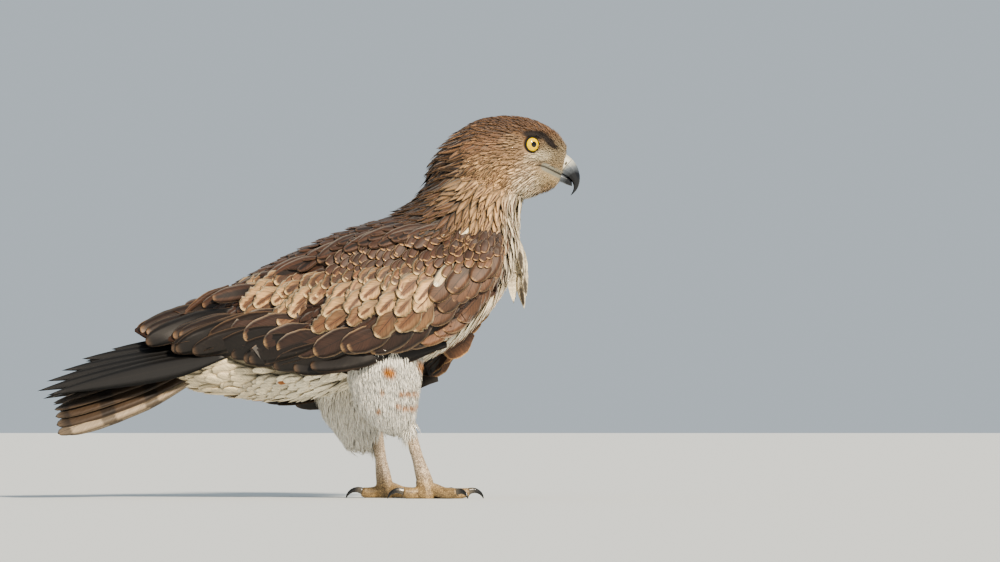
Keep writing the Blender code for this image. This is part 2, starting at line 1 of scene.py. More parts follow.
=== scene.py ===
"""A perched short-toed snake eagle: one skin, its plumage, bill, eyes and claws, on a studio floor."""

import logging
import math
from dataclasses import dataclass, field
from enum import Enum

import bmesh
import bpy
import numpy as np
from mathutils import Matrix, Vector, noise
from mathutils.bvhtree import BVHTree
from mathutils.kdtree import KDTree


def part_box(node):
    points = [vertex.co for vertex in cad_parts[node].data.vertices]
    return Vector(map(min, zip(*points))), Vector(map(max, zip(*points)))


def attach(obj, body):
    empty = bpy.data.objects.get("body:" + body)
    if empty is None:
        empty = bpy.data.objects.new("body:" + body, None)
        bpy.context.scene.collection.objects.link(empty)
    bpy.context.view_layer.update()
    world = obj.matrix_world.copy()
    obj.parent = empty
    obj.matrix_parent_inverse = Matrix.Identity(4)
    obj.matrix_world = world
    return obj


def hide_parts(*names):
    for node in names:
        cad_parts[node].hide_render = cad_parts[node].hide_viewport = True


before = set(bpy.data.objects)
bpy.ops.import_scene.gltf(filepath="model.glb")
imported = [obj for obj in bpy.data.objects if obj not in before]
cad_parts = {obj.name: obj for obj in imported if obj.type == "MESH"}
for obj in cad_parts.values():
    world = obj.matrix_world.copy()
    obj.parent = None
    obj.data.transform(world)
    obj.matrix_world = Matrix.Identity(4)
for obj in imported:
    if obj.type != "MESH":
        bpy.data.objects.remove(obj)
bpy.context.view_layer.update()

LOG = logging.getLogger("snake_eagle")
MM = 0.001
RIGHT, LEFT = -1, 1
SIDES = {RIGHT: "right", LEFT: "left"}


# ---------------------------------------------------------------- small numeric helpers


def linear(code: str) -> np.ndarray:
    """Turn an sRGB hex colour into linear red, green and blue.

    Args:
        code: six hexadecimal digits.

    Returns:
        Three linear values from 0 to 1.
    """
    values = np.array([int(code[i:i + 2], 16) for i in (0, 2, 4)]) / 255
    return np.where(values <= 0.04045, values / 12.92, ((values + 0.055) / 1.055) ** 2.4)


def ease(x: np.ndarray, low: float | np.ndarray, high: float | np.ndarray) -> np.ndarray:
    """Run smoothly from 0 at low to 1 at high.

    Args:
        x: the values to ease.
        low: where the run starts.
        high: where it ends.

    Returns:
        The eased shares.
    """
    t = np.clip((x - low) / (high - low), 0, 1)
    return t * t * (3 - 2 * t)


def unit(vectors: np.ndarray) -> np.ndarray:
    """Scale vectors along the last axis to length 1."""
    return vectors / np.maximum(np.linalg.norm(vectors, axis=-1, keepdims=True), 1e-12)


def side_plane(degrees: float | np.ndarray) -> np.ndarray:
    """Give the direction in the bird's side plane at an angle from its bill upwards."""
    angle = np.radians(degrees)
    return np.stack([np.cos(angle), np.zeros_like(angle), np.sin(angle)], axis=-1)


def line_distance(points: np.ndarray, line: tuple[tuple[float, float], ...]) -> np.ndarray:
    """Measure how far points lie from a bent line in the side plane.

    Args:
        points: places, of which x and z are used.
        line: the line's corners as x and z.

    Returns:
        The distances.
    """
    flat = points[:, [0, 2]]
    best = np.full(len(points), 1e9)
    for start, end in zip(line, line[1:]):
        a, run = np.array(start), np.subtract(end, start)
        t = np.clip((flat - a) @ run / (run @ run), 0, 1)
        best = np.minimum(best, np.linalg.norm(flat - a - t[:, None] * run, axis=1))
    return best


# ---------------------------------------------------------------- meshes


def mesh_arrays(mesh: bpy.types.Mesh) -> tuple[np.ndarray, np.ndarray]:
    """Read a mesh's points and triangles.

    Args:
        mesh: the mesh to read.

    Returns:
        The points, and three point numbers for each triangle.
    """
    points = np.empty(len(mesh.vertices) * 3)
    mesh.vertices.foreach_get("co", points)
    mesh.calc_loop_triangles()
    triangles = np.empty(len(mesh.loop_triangles) * 3, int)
    mesh.loop_triangles.foreach_get("vertices", triangles)
    return points.reshape(-1, 3), triangles.reshape(-1, 3)


def new_object(name: str, points: np.ndarray, faces: list[np.ndarray]) -> bpy.types.Object:
    """Make a smooth mesh object from arrays.

    Args:
        name: the piece's name.
        points: places in metres.
        faces: arrays of faces, each array holding faces of one corner count.

    Returns:
        The object, linked to the scene.
    """
    mesh = bpy.data.meshes.new(name)
    corners = np.concatenate([f.ravel() for f in faces])
    counts = np.concatenate([np.full(len(f), f.shape[1]) for f in faces])
    mesh.vertices.add(len(points))
    mesh.vertices.foreach_set("co", points.ravel())
    mesh.loops.add(len(corners))
    mesh.loops.foreach_set("vertex_index", corners)
    mesh.polygons.add(len(counts))
    mesh.polygons.foreach_set("loop_start", np.concatenate([[0], np.cumsum(counts)[:-1]]))
    mesh.update(calc_edges=True)
    mesh.validate()
    mesh.shade_smooth()
    made = bpy.data.objects.new(name, mesh)
    bpy.context.scene.collection.objects.link(made)
    return made


def set_colours(mesh: bpy.types.Mesh, name: str, values: np.ndarray) -> None:
    """Store a linear colour with alpha on each point of a mesh.

    Args:
        mesh: the mesh that takes it.
        name: the attribute's name.
        values: three or four numbers a point.
    """
    if values.shape[1] == 3:
        values = np.concatenate([values, np.ones((len(values), 1))], axis=1)
    mesh.attributes.new(name, "FLOAT_COLOR", "POINT").data.foreach_set("color", values.ravel())


def smooth_copy(name: str, nodes: list[str], voxel: float, rounds: int) -> bpy.types.Object:
    """Copy CAD nodes into one piece with fine, rounded faces.

    Args:
        name: the new piece's name.
        nodes: the CAD nodes to copy.
        voxel: the face size in metres.
        rounds: how many times the points are relaxed.

    Returns:
        The new object.
    """
    points, triangles, count = [], [], 0
    for node in nodes:
        some, faces = mesh_arrays(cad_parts[node].data)
        points.append(some)
        triangles.append(faces + count)
        count += len(some)
    rough = new_object(name, np.concatenate(points), [np.concatenate(triangles)])
    remesh = rough.modifiers.new("fine", "REMESH")
    remesh.mode = "VOXEL"
    remesh.voxel_size = voxel
    settle = rough.modifiers.new("relax", "SMOOTH")
    settle.factor = 0.5
    settle.iterations = rounds
    return applied(rough)


def applied(piece: bpy.types.Object) -> bpy.types.Object:
    """Replace a piece's mesh by what its modifiers make, and drop them."""
    shape = piece.evaluated_get(bpy.context.evaluated_depsgraph_get())
    mesh = bpy.data.meshes.new_from_object(shape)
    mesh.name = piece.name
    piece.modifiers.clear()
    piece.data = mesh
    mesh.shade_smooth()
    return piece


# ---------------------------------------------------------------- shader helper


def add_node(tree: bpy.types.NodeTree, kind: str, settings: dict | None = None,
             links: dict | None = None) -> bpy.types.Node:
    """Add a shader node with its settings and links.

    Args:
        tree: the node tree.
        kind: the node's type name.
        settings: property names, or input names and numbers, with their values.
        links: input names and numbers, with the output that feeds each.

    Returns:
        The node.
    """
    node = tree.nodes.new(kind)
    for name, value in (settings or {}).items():
        if isinstance(name, int) or name in node.inputs:
            node.inputs[name].default_value = value
        else:
            setattr(node, name, value)
    for name, source in (links or {}).items():
        tree.links.new(source, node.inputs[name])
    return node


def start_material(name: str, roughness: float, ior: float, extra: dict) -> tuple:
    """Start a material on a Principled surface.

    Args:
        name: what the finish is.
        roughness: the surface's roughness.
        ior: its refractive index.
        extra: further constant values by socket name.

    Returns:
        The material, its node tree and the surface node.
    """
    made = bpy.data.materials.new(name)
    made.use_nodes = True
    tree = made.node_tree
    surface = tree.nodes["Principled BSDF"]
    surface.inputs["Roughness"].default_value = roughness
    surface.inputs["IOR"].default_value = ior
    for socket, value in extra.items():
        surface.inputs[socket].default_value = value
    return made, tree, surface


# ---------------------------------------------------------------- how the plumage lies


@dataclass(frozen=True)
class LieAnchor:
    """The way feathers point at one place of the side plane."""

    x: float
    z: float
    heading: float  # degrees from the bill's direction, upwards


LIE = (
    LieAnchor(0.268, 0.402, 150),  # forehead
    LieAnchor(0.245, 0.415, 168),
    LieAnchor(0.215, 0.421, 181),  # crown
    LieAnchor(0.160, 0.405, 208),
    LieAnchor(0.215, 0.392, 190),  # behind the eye
    LieAnchor(0.272, 0.374, 172),  # lores
    LieAnchor(0.235, 0.358, 200),  # cheek
    LieAnchor(0.175, 0.372, 203),
    LieAnchor(0.132, 0.365, 222),  # nape
    LieAnchor(0.110, 0.332, 212),
    LieAnchor(0.258, 0.342, 205),  # chin
    LieAnchor(0.232, 0.330, 222),
    LieAnchor(0.190, 0.345, 226),  # side of the neck
    LieAnchor(0.150, 0.330, 216),
    LieAnchor(0.175, 0.302, 247),
    LieAnchor(0.215, 0.312, 257),
    LieAnchor(0.236, 0.305, 268),  # throat
    LieAnchor(0.222, 0.250, 258),  # breast
    LieAnchor(0.190, 0.195, 232),
    LieAnchor(0.120, 0.150, 212),  # belly
    LieAnchor(0.060, 0.150, 222),
    LieAnchor(0.000, 0.115, 182),
    LieAnchor(-0.100, 0.116, 172),  # under the tail
    LieAnchor(0.100, 0.320, 203),  # mantle
    LieAnchor(0.040, 0.300, 200),
    LieAnchor(-0.050, 0.255, 207),
    LieAnchor(-0.150, 0.200, 205),  # rump
)
THIGH_LIE = 272.0


def lie(points: np.ndarray) -> np.ndarray:
    """Read how the body feathers point at some places.

    Args:
        points: places in metres.

    Returns:
        Directions in the side plane, of length 1.
    """
    total = np.zeros_like(points)
    for anchor in LIE:
        gap = (points[:, 0] - anchor.x) ** 2 + (points[:, 2] - anchor.z) ** 2
        total += (1 / (gap + 2.5e-5) ** 2)[:, None] * side_plane(anchor.heading)
    return unit(total)


# ---------------------------------------------------------------- markings


@dataclass(frozen=True)
class Marking:
    """A soft-edged patch of colour in the side plane, the same on both sides of the bird."""

    x: float
    z: float
    long: float  # half length along its heading
    wide: float  # half width across it
    heading: float
    colour: str
    strength: float = 1.0
    soft: float = 0.5  # share of the patch over which it fades


class Hue:
    """The plumage's colours as sRGB."""

    CROWN = "8d6a4c"
    CROWN_DARK = "4d3322"
    NAPE = "62452f"
    NAPE_TIP = "9b7a58"
    CHEEK = "c2a076"
    LORES = "b5a283"
    PALE_FACE = "e0d0b0"
    BROW = "3a2619"
    THROAT = "c09a6c"
    CREAM = "f0e1c4"
    MANTLE = "4a3122"
    MANTLE_TIP = "8a6a4c"
    RUFOUS = "a5662f"
    STREAK = "3a2415"
    BELLY = "f1e6cc"
    THIGH = "fbf6ea"
    ORANGE = "c9822f"
    UNDERTAIL = "dccbaa"
    LESSER = "43291a"
    LESSER_EDGE = "c39a6c"
    MEDIAN = "b8946a"
    MEDIAN_EDGE = "d8ba8c"
    MEDIAN_HEART = "704d33"
    GREATER = "38241a"
    GREATER_EDGE = "b8956c"
    BUFF_BROWN = "7f5f42"
    SCAPULAR = "452c1d"
    SCAPULAR_EDGE = "8f6f50"
    SECONDARY = "1a130e"
    SECONDARY_EDGE = "6a523c"
    TERTIAL = "2b1d14"
    PRIMARY = "100d0c"
    TAIL = "4a3a2b"
    TAIL_BAND = "1f1711"
    TAIL_UNDER = "a3917a"


BASE = {
    "head": Hue.CROWN, "neck": Hue.NAPE, "trunk": Hue.BELLY, "breast_plume": Hue.CREAM,
    "wing": Hue.SCAPULAR, "thigh": Hue.THIGH, "shank": Hue.PALE_FACE, "foot": Hue.PALE_FACE,
}
MARKINGS = (
    Marking(0.212, 0.420, 0.050, 0.012, 0, "7a573c", 0.75),  # cap
    Marking(0.195, 0.352, 0.055, 0.020, 20, Hue.CHEEK, 0.9, 0.8),
    Marking(0.240, 0.350, 0.026, 0.013, 10, Hue.CHEEK, 1.0, 0.6),
    Marking(0.268, 0.378, 0.016, 0.022, 90, Hue.LORES, 1.0, 0.6),
    Marking(0.222, 0.388, 0.012, 0.010, 0, "b79a76", 0.8, 0.8),  # behind the eye
    Marking(0.262, 0.350, 0.024, 0.011, 20, "cfb992", 1.0, 0.6),  # under the gape
    Marking(0.250, 0.3745, 0.014, 0.0060, 12, "e8dabc", 1.0, 0.5),  # below the eye
    Marking(0.252, 0.366, 0.014, 0.0035, 158, "7d6850", 0.7, 0.8),
    Marking(0.2465, 0.3985, 0.0145, 0.0050, 174, "20130b", 1.0, 0.35),  # brow
    Marking(0.2630, 0.3905, 0.0115, 0.0042, 136, "20130b", 1.0, 0.4),
    Marking(0.245, 0.332, 0.022, 0.007, 30, "a1815c", 0.9, 0.8),  # chin
    Marking(0.128, 0.372, 0.040, 0.014, 58, "3c281b", 0.8, 0.8),  # dark back of the neck
    Marking(0.100, 0.325, 0.060, 0.022, 28, "3c281b", 0.85, 0.6),
    Marking(0.205, 0.315, 0.050, 0.034, 72, "cda678", 1.0, 0.7),  # side of the neck
    Marking(0.230, 0.288, 0.070, 0.021, 84, Hue.CREAM, 1.0, 0.5),
    Marking(0.205, 0.215, 0.040, 0.022, 60, Hue.CREAM, 0.8, 0.7),
)
THIGH_MARKS = (
    Marking(0.0880, 0.137, 0.0068, 0.0056, 150, Hue.ORANGE, 1.0, 0.45),
    Marking(0.1195, 0.141, 0.0095, 0.0030, 110, Hue.ORANGE, 0.9, 0.5),
    Marking(0.1000, 0.1145, 0.0026, 0.0030, 60, Hue.ORANGE, 0.9, 0.6),
    Marking(0.1062, 0.1145, 0.0024, 0.0030, 60, Hue.ORANGE, 0.9, 0.6),
    Marking(0.1120, 0.1145, 0.0020, 0.0028, 60, Hue.ORANGE, 0.9, 0.6),
    Marking(0.0968, 0.1015, 0.0022, 0.0030, 60, Hue.ORANGE, 0.9, 0.6),
    Marking(0.1030, 0.0995, 0.0024, 0.0030, 60, Hue.ORANGE, 0.9, 0.6),
    Marking(0.1090, 0.0990, 0.0024, 0.0030, 60, Hue.ORANGE, 0.9, 0.6),
    Marking(0.1145, 0.1000, 0.0020, 0.0030, 60, Hue.ORANGE, 0.9, 0.6),
    Marking(0.0810, 0.1160, 0.0024, 0.0024, 0, Hue.ORANGE, 0.9, 0.6),
    Marking(0.0780, 0.0970, 0.0022, 0.0022, 0, Hue.ORANGE, 0.9, 0.6),
)


def wing_edges(side: int) -> np.ndarray:
    """Read a folded wing's upper and lower edge along the body.

    Args:
        side: RIGHT or LEFT.

    Returns:
        Three rows: x, the upper edge's height and the lower edge's.
    """
    points, _ = mesh_arrays(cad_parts["wing_" + SIDES[side]].data)
    stations = np.unique(np.round(points[:, 0], 3))
    near = [points[np.abs(points[:, 0] - x) < 0.0015, 2] for x in stations]
    return np.array([(x, z.max(), z.min()) for x, z in zip(stations, near) if len(z) > 3]).T


def wing_share(points: np.ndarray, normals: np.ndarray) -> np.ndarray:
    """How far down the folded wing places lie, where they face its side.

    Args:
        points: places in metres.
        normals: outward directions there.

    Returns:
        0 at the wing's upper edge to 1 at its lower edge, and 9 off the wing.
    """
    found = np.full(len(points), 9.0)
    for side in SIDES:
        xs, top, bottom = wing_edges(side)
        high, low = np.interp(points[:, 0], xs, top), np.interp(points[:, 0], xs, bottom)
        inside = (points[:, 0] > xs[0]) & (points[:, 0] < xs[-1]) & (points[:, 1] * side > 0.015)
        inside &= normals[:, 1] * side > 0.25
        found[inside] = ((high - points[:, 2]) / (high - low))[inside]
    return found


def painted(points: np.ndarray, kinds: np.ndarray, normals: np.ndarray) -> np.ndarray:
    """Colour places of the skin or the coat with the bird's markings.

    Args:
        points: places in metres.
        kinds: for each place, the kind of part that it belongs to.
        normals: outward directions there.

    Returns:
        Linear colours.
    """
    share = wing_share(points, normals)
    kinds = np.where((kinds == "trunk") & (share > -0.02) & (share < 0.97), "wing", kinds)
    colours = np.zeros((len(points), 3))
    for kind, code in BASE.items():
        colours[kinds == kind] = linear(code)
    upper = kinds == "trunk"
    back = ease(points[:, 2] - np.interp(points[:, 0], (-0.17, 0.0, 0.1), (0.160, 0.222, 0.285)), 0, 0.02)
    back = np.maximum(back, ease(normals[:, 2], 0.0, 0.25) * (points[:, 0] < 0.13))
    colours = mixed(colours, linear(Hue.MANTLE), np.where(upper, back, 0))
    under = ease(-points[:, 0], -0.02, 0.10) * (1 - back)
    colours = mixed(colours, linear(Hue.UNDERTAIL), np.where(upper, under, 0))
    front = np.isin(kinds, ("head", "neck", "trunk", "breast_plume"))
    for marking in MARKINGS:
        colours = mixed(colours, linear(marking.colour), marking_share(marking, points) * front)
    for marking in THIGH_MARKS:
        near = marking_share(marking, points) * (kinds == "thigh") * (points[:, 1] < 0)
        colours = mixed(colours, linear(marking.colour), near)
    return colours


def mixed(colours: np.ndarray, other: np.ndarray, share: np.ndarray) -> np.ndarray:
    """Blend colours towards another one by a share for each."""
    return colours + (other - colours) * share[:, None]


def marking_share(marking: Marking, points: np.ndarray) -> np.ndarray:
    """How strongly a marking covers some places.

    Args:
        marking: the patch.
        points: places in metres.

    Returns:
        Shares from 0 to its strength.
    """
    along = side_plane(marking.heading)
    gap = points - np.array([marking.x, 0, marking.z])
    u = (gap[:, 0] * along[0] + gap[:, 2] * along[2]) / marking.long
    v = (gap[:, 2] * along[0] - gap[:, 0] * along[2]) / marking.wide
    return marking.strength * (1 - ease(np.hypot(u, v), 1 - marking.soft, 1 + marking.soft))


# ---------------------------------------------------------------- the skin


FLESH = (
    "head", "neck", "trunk", "breast_plume", "wing_right", "wing_left", "thigh_right",
    "thigh_left", "shank_right", "shank_left", "foot_right", "foot_left",
)
COAT_DEPTH = {  # metres from the skin to the feather tips
    "head": 0.0026, "neck": 0.0060, "trunk": 0.0065, "breast_plume": 0.0028, "wing": 0.0050,
    "thigh": 0.0060, "shank": 0.0, "foot": 0.0,
}
EYE_RADIUS = 0.0120
EYE_FORWARD = math.radians(28)
EYE_OPENING = 0.0081  # radius of the opening between the lids
LID_WIDTH = 0.0030
LID_THICK = 0.0007
GAPE = ((0.238, 0.3675), (0.248, 0.3655), (0.258, 0.3632), (0.268, 0.3588), (0.281, 0.3530))
MOUTH_CORNER = GAPE[2:]
BROW_RIDGE = ((0.230, 0.3985), (0.246, 0.4000), (0.258, 0.3950), (0.267, 0.3870))


def eye_axis(side: int) -> np.ndarray:
    """The direction in which an eye looks."""
    return np.array([math.sin(EYE_FORWARD), side * math.cos(EYE_FORWARD), 0.0])


def eye_centre(side: int) -> np.ndarray:
    """The middle of an eyeball, from its CAD node."""
    low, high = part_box("eye_" + SIDES[side])
    return np.array((low + high) / 2)


@dataclass
class Skin:
    """The one skin under the plumage, bare on the shanks and feet.

    It is the CAD flesh made one fine mesh, drawn in by the coat's depth, with lids, brow, gape
    and scales worked into it.
    """

    voxel: float = 0.0011
    seal: float = 0.0004  # how far each solid is grown so that the parting cuts close
    thinned: float = 0.12  # share of the faces kept under the coat
    toe_scute: float = 0.0028
    scute_rise: float = 0.00030
    scale_pitch: float = 0.0022
    scale_rise: float = 0.00022
    made: bpy.types.Object = None
    points: np.ndarray = None
    kinds: np.ndarray = None
    depths: np.ndarray = None
    normals: np.ndarray = None
    triangles: np.ndarray = None
    tree: BVHTree = None

    def build(self) -> bpy.types.Object:
        """Build the skin.

        Returns:
            The finished object.
        """
        self._read_flesh()
        self.made = self._one_mesh()
        self._draw_in()
        self._index()
        self._refine_bare_parts()
        self._sculpt()
        self._dress()
        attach(self.made, "root")
        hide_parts(*FLESH)
        return self.made

    def _read_flesh(self) -> None:
        """Gather the CAD flesh and a tree that tells which node a place belongs to."""
        points, faces, owners, count = [], [], [], 0
        for node in FLESH + ("eye_right", "eye_left"):
            some, triangles = mesh_arrays(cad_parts[node].data)
            normals = np.empty(len(some) * 3)
            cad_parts[node].data.vertex_normals.foreach_get("vector", normals)
            points.append(some + normals.reshape(-1, 3) * self.seal)
            faces.append(triangles + count)
            owners += [node.split("_")[0] if node != "breast_plume" else node] * len(triangles)
            count += len(some)
        self.flesh_points = np.concatenate(points)
        self.flesh_faces = np.concatenate(faces)
        self.owners = np.array(["head" if o == "eye" else o for o in owners])
        self.flesh = BVHTree.FromPolygons(self.flesh_points.tolist(), self.flesh_faces.tolist())

    def kinds_at(self, points: np.ndarray) -> np.ndarray:
        """Tell which kind of part is nearest to each place."""
        return self.owners[[self.flesh.find_nearest(Vector(p))[2] for p in points]]

    def _one_mesh(self) -> bpy.types.Object:
        """Merge the flesh into one closed mesh, fine on head and legs and coarser under the coat."""
        rough = new_object("skin", self.flesh_points, [self.flesh_faces])
        remesh = rough.modifiers.new("fine", "REMESH")
        remesh.mode = "VOXEL"
        remesh.voxel_size = self.voxel
        applied(rough)
        points, _ = mesh_arrays(rough.data)
        face = ease(points[:, 0], 0.212, 0.224) * ease(points[:, 2], 0.325, 0.335)
        coarse = 1 - np.clip(face + ease(-points[:, 2], -0.082, -0.074), 0, 1)
        group = rough.vertex_groups.new(name="thin")
        for level in (0.25, 0.5, 0.75, 1.0):
            chosen = np.flatnonzero(coarse >= level)
            group.add(chosen.tolist(), level, "REPLACE")
        thin = rough.modifiers.new("thin", "DECIMATE")
        kept_whole = float((coarse < 0.25).mean())
        thin.ratio = kept_whole + self.thinned * (1 - kept_whole)
        thin.vertex_group = "thin"
        applied(rough)
        rough.vertex_groups.clear()
        return rough

    def _draw_in(self) -> None:
        """Move the skin in from the feather tips by the coat's depth, less where the flesh is thin."""
        mesh = self.made.data
        points, triangles = mesh_arrays(mesh)
        edges = np.empty(len(mesh.edges) * 2, int)
        mesh.edges.foreach_get("vertices", edges)
        edges = edges.reshape(-1, 2)
        kinds = self.kinds_at(points)
        bare = np.isin(kinds, ("shank", "foot"))
        points = relaxed(points, edges, 3, np.where(bare, 0.25, 0.5))
        mesh.vertices.foreach_set("co", points.ravel())
        mesh.update()
        normals = np.empty(len(points) * 3)
        mesh.vertex_normals.foreach_get("vector", normals)
        normals = unit(relaxed(normals.reshape(-1, 3), edges, 4, 0.5))
        depths = np.zeros(len(points))
        for kind, depth in COAT_DEPTH.items():
            depths[kinds == kind] = depth
        face = ease(points[:, 0], 0.205, 0.262) * (kinds == "head")
        depths = depths * (1 - 0.68 * face)
        tree = BVHTree.FromPolygons(points.tolist(), triangles.tolist())
        room = np.full(len(points), 0.1)
        for i in np.flatnonzero(depths > 0.0005):
            start = Vector(points[i] - normals[i] * 0.0004)
            hit = tree.ray_cast(start, Vector(-normals[i]), 0.06)
            if hit[0] is not None:
                room[i] = hit[3]
        depths = np.minimum(depths, 0.34 * room)
        depths = relaxed(depths[:, None], edges, 6, 0.5)[:, 0]
        depths[bare] = 0
        points = points - normals * depths[:, None]
        points = relaxed(points, edges, 3, np.where(bare, 0.0, 0.4))
        mesh.vertices.foreach_set("co", points.ravel())
        mesh.update()
        self.points, self.triangles, self.kinds, self.depths = points, triangles, kinds, depths

    def _index(self) -> None:
        """Make the tree and smooth normals on which the feathers are laid."""
        normals = np.empty(len(self.points) * 3)
        self.made.data.vertex_normals.foreach_get("vector", normals)
        self.normals = normals.reshape(-1, 3)
        self.tree = BVHTree.FromPolygons(self.points.tolist(), self.triangles.tolist())
        self.face_normals = unit(self.normals[self.triangles].mean(axis=1))
        self.face_depths = self.depths[self.triangles].mean(axis=1)
        self.face_kinds = self.kinds[self.triangles[:, 0]]

    def nearest(self, places: np.ndarray) -> tuple[np.ndarray, np.ndarray, np.ndarray]:
        """Find the nearest skin.

        Args:
            places: where to look from.

        Returns:
            The skin's points, its smooth normals there and its face numbers.
        """
        found = [self.tree.find_nearest(Vector(p)) for p in places]
        index = np.array([f[2] for f in found])
        return np.array([f[0] for f in found]), self.face_normals[index], index

    def from_side(self, x: float, z: float, side: int) -> tuple | None:
        """Look at the skin straight from one side.

        Args:
            x: place along the body.
            z: height.
            side: RIGHT or LEFT.

        Returns:
            The point and smooth normal that show there, or None beside the bird.
        """
        hit = self.tree.ray_cast(Vector((x, side * 0.3, z)), Vector((0, -side, 0)), 0.3)
        if hit[0] is None:
            return None
        return np.array(hit[0]), self.face_normals[hit[2]]

    def _refine_bare_parts(self) -> None:
        """Halve the faces of the bare legs and round the eyes."""
        work = bmesh.new()
        work.from_mesh(self.made.data)
        centres = [eye_centre(side) for side in SIDES]
        chosen = set()
        for edge in work.edges:
            middle = (edge.verts[0].co + edge.verts[1].co) / 2
            bare = self.kinds[edge.verts[0].index] in ("shank", "foot")
            by_eye = min((middle - Vector(c)).length for c in centres) < 0.0155
            if bare or by_eye:
                chosen.add(edge)
        bmesh.ops.subdivide_edges(work, edges=list(chosen), cuts=1, use_grid_fill=True)
        bmesh.ops.triangulate(work, faces=[f for f in work.faces if len(f.verts) > 4])
        work.to_mesh(self.made.data)
        work.free()
        self.made.data.update()

    def _sculpt(self) -> None:
        """Raise the lids, brow and scales and press in the gape."""
        mesh = self.made.data
        points, _ = mesh_arrays(mesh)
        normals = np.empty(len(points) * 3)
        mesh.vertex_normals.foreach_get("vector", normals)
        normals = normals.reshape(-1, 3)
        kinds = self.kinds_at(points)
        head = kinds == "head"
        ridge = np.exp(-(line_distance(points, BROW_RIDGE) / 0.0032) ** 2)
        groove = np.exp(-(line_distance(points, GAPE) / 0.0009) ** 2)
        side_facing = np.abs(normals[:, 1]) > 0.35
        points += normals * ((0.0014 * ridge - 0.0006 * groove) * head * side_facing)[:, None]
        for side in SIDES:
            points = self._with_lids(points, side)
        points += normals * self._scales(points, normals, kinds)[:, None]
        mesh.vertices.foreach_set("co", points.ravel())
        mesh.update()
        mesh.shade_smooth()
        self.fine_kinds, self.fine_normals = kinds, normals

    def _with_lids(self, points: np.ndarray, side: int) -> np.ndarray:
        """Open the skin over one eyeball and raise a rim of lid round it.

        Args:
            points: the skin's points.
            side: RIGHT or LEFT.

        Returns:
            The changed points.
        """
        centre, axis = eye_centre(side), eye_axis(side)
        gap = points - centre
        depth = gap @ axis
        out = gap - depth[:, None] * axis
        radius = np.linalg.norm(out, axis=1)
        # The upper lid cuts the opening a little flatter than a circle towards the bill.
        lean = unit(out)[:, 2] * 0.9 + unit(out)[:, 0] * 0.45
        opening = EYE_OPENING * (1 - 0.09 * ease(lean, 0.55, 1.0))
        ball = np.sqrt(np.maximum(EYE_RADIUS ** 2 - radius ** 2, 0))
        lid = ball + LID_THICK
        share = 1 - ease(radius, opening + 0.35 * LID_WIDTH, opening + LID_WIDTH)
        wanted = np.where(radius < opening, ball - 0.0012, depth + (lid - depth) * share)
        near = (depth > 0.001) & (radius < opening + LID_WIDTH)
        change = np.where(near, wanted - depth, 0)
        return points + change[:, None] * axis

    def _scales(self, points: np.ndarray, normals: np.ndarray, kinds: np.ndarray) -> np.ndarray:
        """Work out the relief of scutes along the toes and small net-like scales elsewhere.

        Args:
            points: the skin's points.
            normals: their normals.
            kinds: their parts.

        Returns:
            How far each point rises.
        """
        rise = np.zeros(len(points))
        legs = np.flatnonzero(np.isin(kinds, ("shank", "foot")))
        for i in legs:
            near = noise.voronoi(Vector(points[i]) / self.scale_pitch)[0]
            rise[i] = self.scale_rise * min((near[1] - near[0]) / 0.28, 1.0)
        for toe in toes():
            gap = points[legs] - toe.root
            along = gap @ toe.ahead
            across = np.abs(gap @ np.cross(toe.ahead, (0, 0, 1)))
            on_top = ease(normals[legs, 2], 0.15, 0.5) * ease(along, 0.010, 0.013)
            on_top *= (across < toe.radius * 1.3) & (along < toe.length + 0.004)
            plate = np.abs(np.sin(math.pi * along / self.toe_scute)) ** 0.45
            rise[legs] += on_top * (self.scute_rise * plate - rise[legs])
        floor = points[:, 2] < 0.0012
        return np.where(floor, 0, rise)

    def _dress(self) -> None:
        """Give the skin its colours and its two finishes."""
        mesh = self.made.data
        points, _ = mesh_arrays(mesh)
        colours = painted(points, self.fine_kinds, self.fine_normals)
        for side in SIDES:
            gap = points - eye_centre(side)
            radius = np.linalg.norm(gap - (gap @ eye_axis(side))[:, None] * eye_axis(side), axis=1)
            facing = (gap @ eye_axis(side)) > 0
            rim = (1 - ease(radius, EYE_OPENING + 0.0009, EYE_OPENING + 0.0024)) * facing
            colours = mixed(colours, linear("17120f"), rim)
        head = self.fine_kinds == "head"
        corner = (1 - ease(line_distance(points, MOUTH_CORNER), 0.0035, 0.0055)) * head
        colours = mixed(colours, linear("a7a494"), corner)
        # A dark line along the gape: painted shade in the slit between the jaws.
        gape_shade = np.exp(-(line_distance(points, GAPE) / 0.0010) ** 2) * head
        colours = mixed(colours, linear("2a211b"), gape_shade)
        set_colours(mesh, "ground", colours)
        mesh.materials.append(BareSkin().material())
        mesh.materials.append(ScaledSkin().material())
        bare = np.isin(self.fine_kinds, ("shank", "foot"))
        starts = np.empty(len(mesh.polygons), int)
        mesh.polygons.foreach_get("loop_start", starts)
        corners = np.empty(len(mesh.loops), int)
        mesh.loops.foreach_get("vertex_index", corners)
        mesh.polygons.foreach_set("material_index", bare[corners[starts]].astype(int))


def relaxed(values: np.ndarray, edges: np.ndarray, rounds: int, factor: float | np.ndarray) -> np.ndarray:
    """Average values with their neighbours'.

    Args:
        values: numbers for each point, as rows.
        edges: pairs of neighbouring points.
        rounds: how many times.
        factor: how far each point moves to its neighbours' mean.

    Returns:
        The averaged values.
    """
    count = len(values)
    ends = np.concatenate([edges[:, 0], edges[:, 1]])
    others = np.concatenate([edges[:, 1], edges[:, 0]])
    degree = np.maximum(np.bincount(ends, minlength=count), 1)[:, None]
    factor = np.broadcast_to(np.asarray(factor, float), (count,))[:, None]
    for _ in range(rounds):
        sums = [np.bincount(ends, values[others, c], count) for c in range(values.shape[1])]
        values = values + factor * (np.stack(sums, axis=1) / degree - values)
    return values


